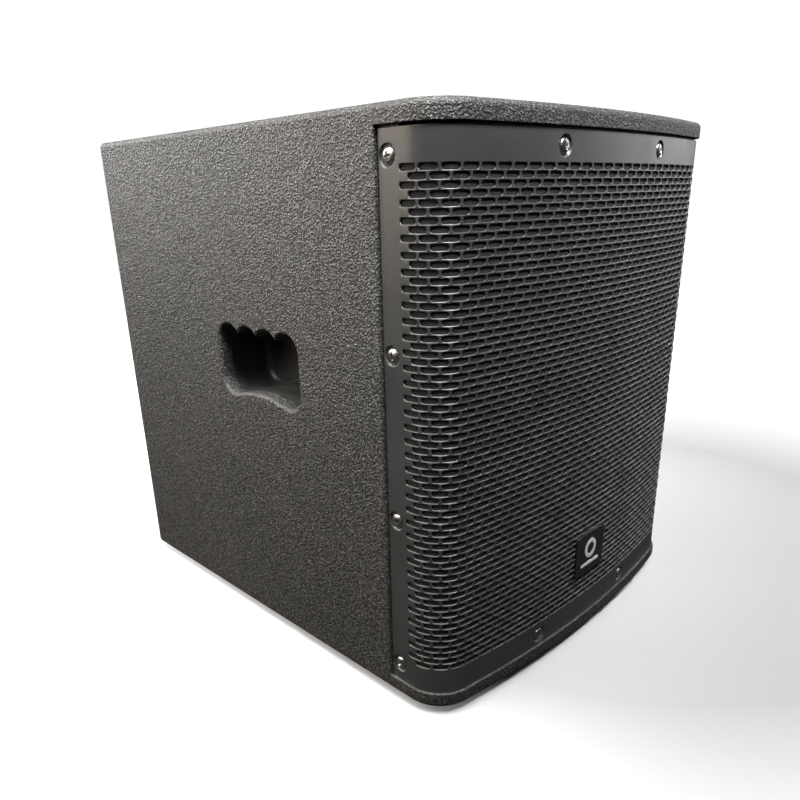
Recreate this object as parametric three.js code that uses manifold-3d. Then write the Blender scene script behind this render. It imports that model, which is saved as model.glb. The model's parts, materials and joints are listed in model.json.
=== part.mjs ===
// A powered 15-inch subwoofer cabinet: plywood box, bowed steel grille, driver, ports and rear amplifier.
// Millimetres. +Z is up, the grille faces -Y, and the origin is under the middle of the box at floor level.
import * as THREE from "three";
import { mergeVertices } from "three/addons/utils/BufferGeometryUtils.js";
import Module from "manifold-3d";

const wasm = await Module();
wasm.setup();

// ---- driving dimensions ----
const GAP = 0.3; // clearance kept between neighbouring pieces
const WIDTH = 430;
const DEPTH = 530;
const FOOT_HEIGHT = 8;
const BOX_HEIGHT = 500; // the wooden box, without its feet
const PANEL = 15; // thickness of the outer boards
const EDGE_RADIUS = 5.5; // roundover on the outside edges of the box
const BACK_CORNER_RADIUS = 8; // the two back corners, seen from above

const FRONT_RADIUS = 1158; // the shallow bow of the front, seen from above
const CORNER_RADIUS = 38.6; // the two front corners, seen from above
const FLANK_FRONT = -185.5; // where each side board ends and the grille's flank begins

const GRILLE_INSET = 2.6; // the grille lies this far inside the edge of the top and bottom boards
const GRILLE_SHEET = 1.2;
const GRILLE_END_GAP = 1.6; // slot between a side board and the end of the grille
const GRILLE_TOP_GAP = 3.2;
const GRILLE_BOTTOM_GAP = 0.8;
const TONGUE_LENGTH = 22; // the thinner front end of a side board, which carries the grille's flank

const SCREW_SETBACK = 10.8; // flank screws, forward of the end of the side board
const SCREW_SPREAD = 80.2; // front screws, either side of the middle
const SCREW_ROWS = [-216.3, -71.3, 71.3, 216.3]; // flank screws, about the middle of the grille
const SCREW_END_ROW = 222.5; // top and bottom screws, above and below the middle of the grille
const SEAT_RADIUS = 9;
const SEAT_FLOOR_RADIUS = 6.6;
const SEAT_DEPTH = 2.4;
const SHANK_RADIUS = 2.2;

const GRIP_Y = -12.6; // middle of the handle pocket
const GRIP_Z = 285; // above the underside of the box
const GRIP_LOBE = 18; // radius of each finger scallop and of each lower corner
const GRIP_PITCH = 30.6; // from one finger to the next
const GRIP_ARCH_DROP = 29.5; // the crest of the lower edge, below the middle of the pocket
const CUP_DEPTH = 48;
const CUP_WALL = 2.5;

const BAFFLE_FRONT = -178;
const BAFFLE = 18;
const DRIVER_Z = 279; // driver axis above the underside of the box
const DRIVER_HOLE_RADIUS = 177;
const PORT_X = 145;
const PORT_Z = 72;
const PORT_RADIUS = 45;
const PORT_WALL = 3;
const PORT_LENGTH = 180;

const REAR_RECESS = 18; // the rear board sits this far inside the back edges
const PLATE_WIDTH = 260;
const PLATE_HEIGHT = 330;
const PLATE_Z = 250;
const PLATE_THICK = 3;
const SOCKET_Y = 20; // pole socket, behind the middle of the top
const SOCKET_BORE_RADIUS = 17.8;
const SOCKET_FLANGE_RADIUS = 35.8;
const SOCKET_DEPTH = 92;

const floor = FOOT_HEIGHT; // height of the underside of the box
const ceiling = FOOT_HEIGHT + BOX_HEIGHT;
const halfWidth = WIDTH / 2;
const back = DEPTH / 2;
const front = -DEPTH / 2;
const grilleBottom = floor + PANEL + GRILLE_BOTTOM_GAP;
const grilleTop = ceiling - PANEL - GRILLE_TOP_GAP;
const grilleMiddle = floor + 248.4;
const driverZ = floor + DRIVER_Z;
const gripZ = floor + GRIP_Z;
const rearFace = back - REAR_RECESS;
const plateBack = rearFace + GAP;
const plateFace = plateBack + PLATE_THICK;
const plateZ = floor + PLATE_Z;

// The front bow's centre lies on the middle line; the corner arcs touch both the bow and the flanks.
const bowCentreY = front + FRONT_RADIUS;
const cornerX = halfWidth - CORNER_RADIUS;
const cornerY = bowCentreY - Math.sqrt((FRONT_RADIUS - CORNER_RADIUS) ** 2 - cornerX ** 2);
const bowAngle = Math.atan2(cornerX, bowCentreY - cornerY); // half the angle that the bow covers

// ---- solids ----

// Merges a geometry's shared vertices, drops collapsed triangles and turns the faces outwards.
function closed(geometry) {
  const bare = geometry.clone();
  bare.deleteAttribute("normal");
  bare.deleteAttribute("uv");
  const merged = mergeVertices(bare, 1e-3);
  const position = merged.getAttribute("position");
  const index = merged.index.array;
  const kept = [];
  let volume = 0;
  const [a, b, c] = [new THREE.Vector3(), new THREE.Vector3(), new THREE.Vector3()];
  for (let i = 0; i < index.length; i += 3) {
    const [p, q, r] = [index[i], index[i + 1], index[i + 2]];
    if (p === q || q === r || r === p) continue;
    kept.push(p, q, r);
    a.fromBufferAttribute(position, p);
    b.fromBufferAttribute(position, q);
    c.fromBufferAttribute(position, r);
    volume += a.dot(b.cross(c));
  }
  if (volume < 0) kept.reverse();
  merged.setIndex(kept);
  return merged;
}

function toSolid(geometry) {
  const shape = closed(geometry);
  return new wasm.Manifold(
    new wasm.Mesh({
      numProp: 3,
      vertProperties: new Float32Array(shape.getAttribute("position").array),
      triVerts: new Uint32Array(shape.index.array),
    }),
  );
}

function toGeometry(solid) {
  const mesh = solid.getMesh();
  return new THREE.BufferGeometry()
    .setAttribute("position", new THREE.BufferAttribute(new Float32Array(mesh.vertProperties), 3))
    .setIndex(new THREE.BufferAttribute(new Uint32Array(mesh.triVerts), 1));
}

const cut = (base, ...tools) =>
  toGeometry(tools.reduce((solid, tool) => solid.subtract(toSolid(tool)), toSolid(base)));
const join = (base, ...others) =>
  toGeometry(others.reduce((solid, other) => solid.add(toSolid(other)), toSolid(base)));
const common = (base, other) => toGeometry(toSolid(base).intersect(toSolid(other)));

// A box between two corners.
function block(x0, x1, y0, y1, z0, z1) {
  return new THREE.BoxGeometry(x1 - x0, y1 - y0, z1 - z0).translate(
    (x0 + x1) / 2,
    (y0 + y1) / 2,
    (z0 + z1) / 2,
  );
}

// The shape's points without the doubled ones where its curves meet.
function cleaned(shape, segments) {
  const kept = [];
  for (const point of shape.getPoints(segments)) {
    if (!kept.length || kept.at(-1).distanceTo(point) > 1e-4) kept.push(point);
  }
  if (kept[0].distanceTo(kept.at(-1)) < 1e-4) kept.pop();
  return new THREE.Shape(kept);
}

const extrude = (shape, depth, curveSegments, bevel = {}) =>
  new THREE.ExtrudeGeometry(cleaned(shape, curveSegments), { depth, bevelEnabled: false, ...bevel });

// A shape drawn in (x, y) and raised from z0 to z1.
const raised = (shape, z0, z1, segments = 4) =>
  extrude(shape, z1 - z0, segments).translate(0, 0, z0);

// A shape drawn in (x, z) and stretched from y0 to y1.
const throughY = (shape, y0, y1, segments = 4) =>
  extrude(shape, y1 - y0, segments).rotateX(Math.PI / 2).translate(0, y1, 0);

// A shape drawn in (y, z) and stretched from x0 to x1.
function throughX(shape, x0, x1, segments = 4) {
  const turn = new THREE.Matrix4().makeBasis(
    new THREE.Vector3(0, 1, 0),
    new THREE.Vector3(0, 0, 1),
    new THREE.Vector3(1, 0, 0),
  );
  return extrude(shape, x1 - x0, segments).applyMatrix4(turn).translate(x0, 0, 0);
}

// A closed profile of [radius, y] pairs turned about an axis along Y.
function turned(profile, segments, x = 0, z = 0) {
  const points = profile.map(([r, y]) => new THREE.Vector2(r, y));
  if (profile[0][0] > 0) points.push(points[0].clone());
  return new THREE.LatheGeometry(points, segments).translate(x, 0, z);
}

const bar = (radius, y0, y1, x, z, segments = 16) =>
  turned([[0, y0], [radius, y0], [radius, y1], [0, y1]], segments, x, z);

const polygon = (...points) => new THREE.Shape(points.map(([x, y]) => new THREE.Vector2(x, y)));

// ---- outlines ----

// The front of the box from left flank to right flank, seen from above, moved inwards by inset.
function traceFront(path, inset, reversed = false) {
  const flat = -Math.PI / 2;
  const arcs = [
    [-cornerX, cornerY, CORNER_RADIUS, -Math.PI, flat - bowAngle],
    [0, bowCentreY, FRONT_RADIUS, flat - bowAngle, flat + bowAngle],
    [cornerX, cornerY, CORNER_RADIUS, flat + bowAngle, 0],
  ];
  if (reversed) arcs.reverse();
  for (const [x, y, radius, start, end] of arcs) {
    if (reversed) path.absarc(x, y, radius - inset, end, start, true);
    else path.absarc(x, y, radius - inset, start, end, false);
  }
}

// The whole box from above, with small rounds at the back.
function boxOutline() {
  const shape = new THREE.Shape();
  const radius = BACK_CORNER_RADIUS;
  shape.moveTo(-halfWidth, cornerY);
  traceFront(shape, 0);
  shape.lineTo(halfWidth, back - radius);
  shape.absarc(halfWidth - radius, back - radius, radius, 0, Math.PI / 2, false);
  shape.lineTo(-halfWidth + radius, back);
  shape.absarc(-halfWidth + radius, back - radius, radius, Math.PI / 2, Math.PI, false);
  return shape;
}

// A strip that follows the front from flank to flank, between two insets, as far back as endY.
function frontStrip(outer, inner, endY) {
  const shape = new THREE.Shape();
  shape.moveTo(-halfWidth + outer, endY);
  shape.lineTo(-halfWidth + outer, cornerY);
  traceFront(shape, outer);
  shape.lineTo(halfWidth - outer, endY);
  shape.lineTo(halfWidth - inner, endY);
  shape.lineTo(halfWidth - inner, cornerY);
  traceFront(shape, inner, true);
  shape.lineTo(-halfWidth + inner, endY);
  return shape;
}

// The handle pocket in (y, z): four finger scallops above, two round corners and a low arch below.
function gripOutline(grow) {
  const shape = new THREE.Shape();
  const radius = GRIP_LOBE + grow;
  const reach = 1.5 * GRIP_PITCH;
  const notch = Math.acos(GRIP_PITCH / 2 / radius);
  const archRadius =
    (reach ** 2 + (GRIP_ARCH_DROP - GRIP_LOBE) ** 2 - GRIP_LOBE ** 2) /
    (2 * (2 * GRIP_LOBE - GRIP_ARCH_DROP));
  const archZ = gripZ - GRIP_ARCH_DROP - archRadius;
  const lobeZ = gripZ + GRIP_LOBE;
  const cornerZ = gripZ - GRIP_LOBE;
  const lean = Math.atan2(reach, cornerZ - archZ);
  shape.moveTo(GRIP_Y + reach + radius, cornerZ);
  for (let finger = 0; finger < 4; finger++) {
    const start = finger === 0 ? 0 : notch;
    const end = finger === 3 ? Math.PI : Math.PI - notch;
    shape.absarc(GRIP_Y + reach - finger * GRIP_PITCH, lobeZ, radius, start, end, false);
  }
  const tangent = Math.PI / 2 + lean;
  shape.absarc(GRIP_Y - reach, cornerZ, radius, Math.PI, Math.PI + tangent, false);
  shape.absarc(GRIP_Y, archZ, archRadius - grow, tangent, Math.PI - tangent, true);
  shape.absarc(GRIP_Y + reach, cornerZ, radius, -tangent, 0, false);
  return shape;
}

function rectangle(x0, x1, z0, z1) {
  return polygon([x0, z0], [x1, z0], [x1, z1], [x0, z1]);
}

// ---- materials ----

const finish = (color, roughness, metalness = 0) =>
  new THREE.MeshStandardMaterial({ color, roughness, metalness });
const paint = () => finish(0x2b2b29, 0.62);
const bareWood = () => finish(0x8a6a45, 0.8);
const blackWood = () => finish(0x151515, 0.85);
const grilleSteel = () => finish(0x2a2b2b, 0.42, 0.2);
const screwSteel = () => finish(0xb9bbbd, 0.3, 1);
const blackPlastic = () => finish(0x161616, 0.5);
const rubber = () => finish(0x121212, 0.85);
const foam = () => finish(0x101210, 1);
const blackMetal = () => finish(0x1c1c1d, 0.5, 0.5);
const steel = () => finish(0x8d9093, 0.35, 1);
const pulp = () => finish(0x171717, 0.9);

const part = new THREE.Group();
part.name = "subwoofer_cabinet";

function add(name, geometry, material, parent = part) {
  const mesh = new THREE.Mesh(closed(geometry), material);
  mesh.name = name;
  parent.add(mesh);
  return mesh;
}

// ---- grille screws: one frame each, its +Y along the screw and out of the sheet ----

function seatFrames() {
  const frames = [];
  const up = new THREE.Vector3(0, 1, 0);
  const place = (name, position, outward) => {
    const turn = new THREE.Quaternion().setFromUnitVectors(up, outward);
    frames.push({ name, position, turn });
  };
  const flankX = halfWidth - GRILLE_INSET;
  const flankY = FLANK_FRONT - SCREW_SETBACK;
  for (const [label, side] of [["left", -1], ["right", 1]]) {
    SCREW_ROWS.forEach((z, row) =>
      place(
        `grille_screw_${label}_${row + 1}`,
        new THREE.Vector3(side * flankX, flankY, grilleMiddle + z),
        new THREE.Vector3(side, 0, 0),
      ),
    );
  }
  const radius = FRONT_RADIUS - GRILLE_INSET;
  for (const [level, rise] of [["bottom", -1], ["top", 1]]) {
    for (const [label, side] of [["left", -1], ["right", 1]]) {
      const angle = Math.asin((side * SCREW_SPREAD) / radius);
      const outward = new THREE.Vector3(Math.sin(angle), -Math.cos(angle), 0);
      const position = outward.clone().multiplyScalar(radius);
      position.add(new THREE.Vector3(0, bowCentreY, grilleMiddle + rise * SCREW_END_ROW));
      place(`grille_screw_${level}_${label}`, position, outward);
    }
  }
  return frames;
}
const seats = seatFrames();

// A profile turned about each seat's axis, for the cuts that the dished seats and shanks need.
function atSeats(profile, segments) {
  return seats.map(({ position, turn }) =>
    turned(profile, segments).applyQuaternion(turn).translate(position.x, position.y, position.z),
  );
}

// ---- the wooden box ----

function envelope() {
  return extrude(boxOutline(), BOX_HEIGHT - 2 * EDGE_RADIUS, 4, {
    bevelEnabled: true,
    bevelThickness: EDGE_RADIUS,
    bevelSize: EDGE_RADIUS,
    bevelOffset: -EDGE_RADIUS,
    bevelSegments: 3,
  }).translate(0, 0, floor + EDGE_RADIUS);
}

function buildBox() {
  const whole = envelope();
  const reach = 10; // a cutter goes this far past the piece that it cuts
  const slab = (z0, z1) => block(-WIDTH, WIDTH, -DEPTH, DEPTH, z0, z1);
  const disc = (radius) => new THREE.Shape().absarc(0, SOCKET_Y, radius, 0, 2 * Math.PI);
  const socketHole = raised(disc(SOCKET_BORE_RADIUS + 5), ceiling - PANEL - reach, ceiling + reach, 10);
  const socketRecess = raised(disc(SOCKET_FLANGE_RADIUS + GAP), ceiling - 4, ceiling + reach, 10);
  const topBoard = common(whole, slab(ceiling - PANEL, ceiling + reach));
  add("top_panel", cut(topBoard, socketHole, socketRecess), paint());
  add("bottom_panel", common(whole, slab(floor - reach, floor + PANEL)), paint());

  const rebate = GRILLE_INSET + GRILLE_SHEET + GAP;
  const inner = halfWidth - PANEL;
  const tongueEnd = FLANK_FRONT - TONGUE_LENGTH;
  const seatCuts = atSeats(
    [[0, 0.5], [SEAT_RADIUS + 2.2, 0.5], [SEAT_RADIUS + 2.2, -1.4], [SEAT_FLOOR_RADIUS + 2, -4.4], [0, -4.4]],
    10,
  );
  const shankCuts = atSeats(
    [[0, 1], [SHANK_RADIUS + GAP, 1], [SHANK_RADIUS + GAP, -26], [0, -26]],
    6,
  );
  for (const [name, side] of [["left_side_panel", -1], ["right_side_panel", 1]]) {
    const plan = polygon(
      [side * halfWidth, back],
      [side * halfWidth, FLANK_FRONT],
      [side * (halfWidth - rebate), FLANK_FRONT],
      [side * (halfWidth - rebate), tongueEnd],
      [side * inner, tongueEnd],
      [side * inner, back],
    );
    const board = common(raised(plan, floor + PANEL + GAP, ceiling - PANEL - GAP), whole);
    const pocket = throughX(gripOutline(0), side * halfWidth - 2 * PANEL, side * halfWidth + 2 * PANEL);
    add(name, cut(board, pocket, ...seatCuts, ...shankCuts), paint());
  }

  const batten = frontStrip(rebate, 26, FLANK_FRONT);
  const span = block(-184, 184, front, -195, floor, ceiling);
  const stripTop = common(raised(batten, ceiling - 39, ceiling - PANEL - GAP), span);
  const stripBottom = common(raised(batten, floor + PANEL + GAP, floor + 38.5), span);
  add("top_grille_batten", cut(stripTop, ...seatCuts, ...shankCuts), blackWood());
  add("bottom_grille_batten", cut(stripBottom, ...seatCuts, ...shankCuts), blackWood());

  const side = inner - GAP;
  const low = floor + PANEL + GAP;
  const high = ceiling - PANEL - GAP;
  const baffleBoard = throughY(rectangle(-side, side, low, high), BAFFLE_FRONT, BAFFLE_FRONT + BAFFLE);
  const [near, far] = [BAFFLE_FRONT - reach, BAFFLE_FRONT + BAFFLE + reach];
  const hole = bar(DRIVER_HOLE_RADIUS, near, far, 0, driverZ, 40);
  const portHoles = [-PORT_X, PORT_X].map((x) =>
    bar(PORT_RADIUS + PORT_WALL + GAP, near, far, x, floor + PORT_Z, 20),
  );
  add("baffle", cut(baffleBoard, hole, ...portHoles), blackWood());

  const opening = rectangle(-PLATE_WIDTH / 2 + 12, PLATE_WIDTH / 2 - 12,
    plateZ - PLATE_HEIGHT / 2 + 12, plateZ + PLATE_HEIGHT / 2 - 12);
  const rearBoard = throughY(rectangle(-side, side, low, high), rearFace - PANEL, rearFace);
  const rearCut = throughY(opening, rearFace - PANEL - reach, rearFace + reach);
  add("rear_panel", cut(rearBoard, rearCut), blackWood());
  add("cross_brace", block(-side, side, 95, 113, floor + 400, floor + 440), bareWood());
}

function buildPorts() {
  const bore = PORT_RADIUS;
  const outer = PORT_RADIUS + PORT_WALL;
  const lip = BAFFLE_FRONT - GAP;
  const profile = [
    [bore + 9, lip],
    [outer, lip],
    [outer, lip + PORT_LENGTH],
    [bore, lip + PORT_LENGTH],
    [bore, lip + 5],
    [bore + 3, lip - 1.5],
    [bore + 9, lip - 3],
  ];
  add("left_port_tube", turned(profile, 20, -PORT_X, floor + PORT_Z), blackPlastic());
  add("right_port_tube", turned(profile, 20, PORT_X, floor + PORT_Z), blackPlastic());
}

// A moulded cup behind each handle hole, closed at the back so that the box stays airtight.
function buildHandleCups() {
  for (const [name, side] of [["left_handle_cup", -1], ["right_handle_cup", 1]]) {
    const face = side * (halfWidth - PANEL - GAP); // the flange lies against the inside of the board
    const inward = -side;
    const span = (a, b) => [face + inward * a, face + inward * b].sort((low, high) => low - high);
    const flange = throughX(gripOutline(14), ...span(0, 3), 3);
    const shell = throughX(gripOutline(1 + CUP_WALL), ...span(0, CUP_DEPTH), 3);
    const hollow = throughX(gripOutline(1), ...span(-5, CUP_DEPTH - CUP_WALL), 3);
    add(name, cut(join(flange, shell), hollow), blackPlastic());
  }
}

function buildFeet() {
  const places = [
    ["foot_front_left", -150, -195],
    ["foot_front_right", 150, -195],
    ["foot_rear_left", -165, 215],
    ["foot_rear_right", 165, 215],
  ];
  const top = floor - GAP;
  for (const [name, x, y] of places) {
    const profile = [[5.5, 0], [17, 0], [19, top], [3, top], [3, 3], [5.5, 3]];
    const foot = turned(profile, 12).rotateX(Math.PI / 2).translate(x, y, 0);
    add(name, foot, rubber());
  }
}

// A flanged tube for a 35 mm speaker pole, let into the top.
function buildPoleSocket() {
  const bore = SOCKET_BORE_RADIUS;
  const profile = [
    [bore, 0],
    [bore, -SOCKET_DEPTH],
    [0, -SOCKET_DEPTH],
    [0, -SOCKET_DEPTH - 4],
    [bore + 4, -SOCKET_DEPTH - 4],
    [bore + 4, -3.4],
    [SOCKET_FLANGE_RADIUS, -3.4],
    [SOCKET_FLANGE_RADIUS, -0.8],
    [SOCKET_FLANGE_RADIUS - 1, 0],
  ];
  const points = [...profile.slice(3), ...profile.slice(0, 3)];
  const tube = new THREE.LatheGeometry(points.map(([r, y]) => new THREE.Vector2(r, y)), 20);
  add("pole_socket", tube.rotateX(Math.PI / 2).translate(0, SOCKET_Y, ceiling - GAP), blackMetal());
}

// ---- grille ----

function buildGrille() {
  const end = FLANK_FRONT - GRILLE_END_GAP;
  const outer = GRILLE_INSET;
  const inner = GRILLE_INSET + GRILLE_SHEET;
  const sheet = raised(frontStrip(outer, inner, end), grilleBottom, grilleTop);
  const dishes = atSeats(
    [[0, -0.3], [SEAT_RADIUS + 0.9, -0.3], [SEAT_RADIUS + 0.9, -1],
      [SEAT_FLOOR_RADIUS + 1, -SEAT_DEPTH - GRILLE_SHEET], [0, -SEAT_DEPTH - GRILLE_SHEET]],
    10,
  );
  const hollows = atSeats(
    [[0, 1], [SEAT_RADIUS, 1], [SEAT_RADIUS, 0], [SEAT_FLOOR_RADIUS, -SEAT_DEPTH], [0, -SEAT_DEPTH]],
    10,
  );
  const holes = atSeats([[0, 1], [SHANK_RADIUS + GAP, 1], [SHANK_RADIUS + GAP, -6], [0, -6]], 6);
  add("grille", cut(join(sheet, ...dishes), ...hollows, ...holes), grilleSteel());

  const foamOuter = inner + GAP;
  const foamStrip = common(
    raised(frontStrip(foamOuter, foamOuter + 5, FLANK_FRONT), floor + 39, ceiling - 40),
    block(-halfWidth, halfWidth, front, FLANK_FRONT - TONGUE_LENGTH - 0.7, floor, ceiling),
  );
  add("grille_foam", foamStrip, foam());

  const badgeBack = front + GRILLE_INSET - GAP;
  const badge = throughY(rectangle(-26, 26, floor + 66, floor + 111), badgeBack - 1.9, badgeBack);
  add("badge", badge, blackPlastic());

  const seated = -SEAT_DEPTH + GAP;
  const screw = [[0, -15], [SHANK_RADIUS, -12.5], [SHANK_RADIUS, seated], [6, seated], [6, seated + 0.9],
    [4.4, seated + 2.2], [0, seated + 2.6]];
  for (const { name, position, turn } of seats) {
    const mesh = add(name, turned(screw, 6), screwSteel());
    mesh.position.copy(position);
    mesh.quaternion.copy(turn);
  }
}

// ---- driver: everything turns about an axis along Y through the middle of the baffle's hole ----

function buildDriver() {
  const driver = new THREE.Group();
  driver.position.set(0, BAFFLE_FRONT, driverZ); // y = 0 is the baffle's front face
  part.add(driver);
  const around = 24;
  const piece = (name, profile, material, segments = around) =>
    add(name, turned(profile, segments), material, driver);

  const frame = turned(
    [[193, -6], [193, -0.3], [175, -0.3], [173, 23], [98, 94], [98, 102.3], [45, 102.3], [45, 99], [84, 99],
      [84, 85], [101.7, 85], [170.3, 20], [171, -6]],
    around,
  );
  const windows = [];
  for (let leg = 0; leg < 6; leg++) {
    const middle = (leg * Math.PI) / 3;
    const window = new THREE.Shape();
    window.absarc(0, 0, 162, middle - 0.34, middle + 0.34, false);
    window.absarc(0, 0, 108, middle + 0.3, middle - 0.3, true);
    windows.push(throughY(window, 15, 97, 3));
  }
  add("driver_frame", cut(frame, ...windows), blackMetal(), driver);
  piece("driver_gasket", [[179, -6.3], [192, -6.3], [192, -10], [179, -10]], rubber());

  const roll = [];
  const steps = 5;
  for (let i = 0; i <= steps; i++) {
    const angle = (Math.PI * i) / steps;
    roll.push([161 + 10.5 * Math.cos(angle), -7.5 + (6 * i) / steps - 10.5 * Math.sin(angle)]);
  }
  const rollBack = roll.map(([r, y]) => [r, y + 1.2]).reverse();
  piece("surround", [[178.5, -7.5], ...roll, [144, -1.5], [144, -0.3], ...rollBack, [178.5, -6.3]], rubber());

  const coneFront = [[149, 0], [144, 0], [120, 18], [90, 38], [60, 56], [38.9, 67]];
  const coneBack = coneFront.map(([r, y]) => [r, y + 1.5]).reverse();
  piece("cone", [...coneFront, ...coneBack], pulp());

  const cap = [];
  for (let i = 0; i <= 4; i++) {
    const radius = 50 - 12.5 * i;
    cap.push([radius, 59.8 - 15 * (1 - (radius / 50) ** 2)]);
  }
  const capBack = cap.map(([r, y]) => [r, y + 1]).reverse();
  add("dust_cap", new THREE.LatheGeometry([...capBack, ...cap].map(([r, y]) => new THREE.Vector2(r, y)), 20),
    pulp(), driver);

  const spider = [];
  for (let i = 0; i <= 9; i++) {
    const share = i / 9;
    spider.push([39.1 + 57 * share, 76 + 7.4 * share + 2.2 * Math.sin(share * 6 * Math.PI)]);
  }
  const spiderBack = spider.map(([r, y]) => [r, y + 1]).reverse();
  piece("spider", [...spider, ...spiderBack], finish(0xb08a4a, 0.9), 20);

  piece("voice_coil", [[37.6, 60.8], [38.5, 60.8], [38.5, 94], [39.8, 94], [39.8, 122], [37.6, 122]],
    finish(0x9a5a34, 0.4, 0.8), 20);
  piece("front_magnet_plate", [[41.5, 102.6], [88, 102.6], [88, 112], [41.5, 112]], steel());
  piece("magnet", [[48, 112.3], [92, 112.3], [92, 132], [48, 132]], finish(0x262626, 0.7));
  piece("yoke", [[12, 102], [36.8, 102], [36.8, 132.3], [88, 132.3], [88, 144], [12, 144]], steel());
}

// ---- rear amplifier ----

// A panel-mount XLR socket: square flange, round shell, open mouth.
function xlrSocket(x, z, female) {
  const mouth = plateFace + GAP + 2.4;
  const flange = block(x - 13, x + 13, plateFace + GAP, mouth, z - 15.5, z + 15.5);
  const shell = bar(11.5, plateBack - 18, plateFace + 1, x, z, 20);
  const bore = bar(9.4, mouth - 15, mouth + 1, x, z, 20);
  const socket = cut(join(flange, shell), bore);
  if (!female) return socket;
  return join(socket, bar(7.2, mouth - 16, mouth - 1, x, z, 16));
}

function knob(x, z) {
  const base = plateFace + 0.6;
  return turned(
    [[0, plateBack - 6], [3, plateBack - 6], [3, base], [9.5, base], [9.5, base + 3], [8, base + 11.5],
      [7, base + 12.6], [0, base + 12.6]],
    20, x, z,
  );
}

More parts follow.
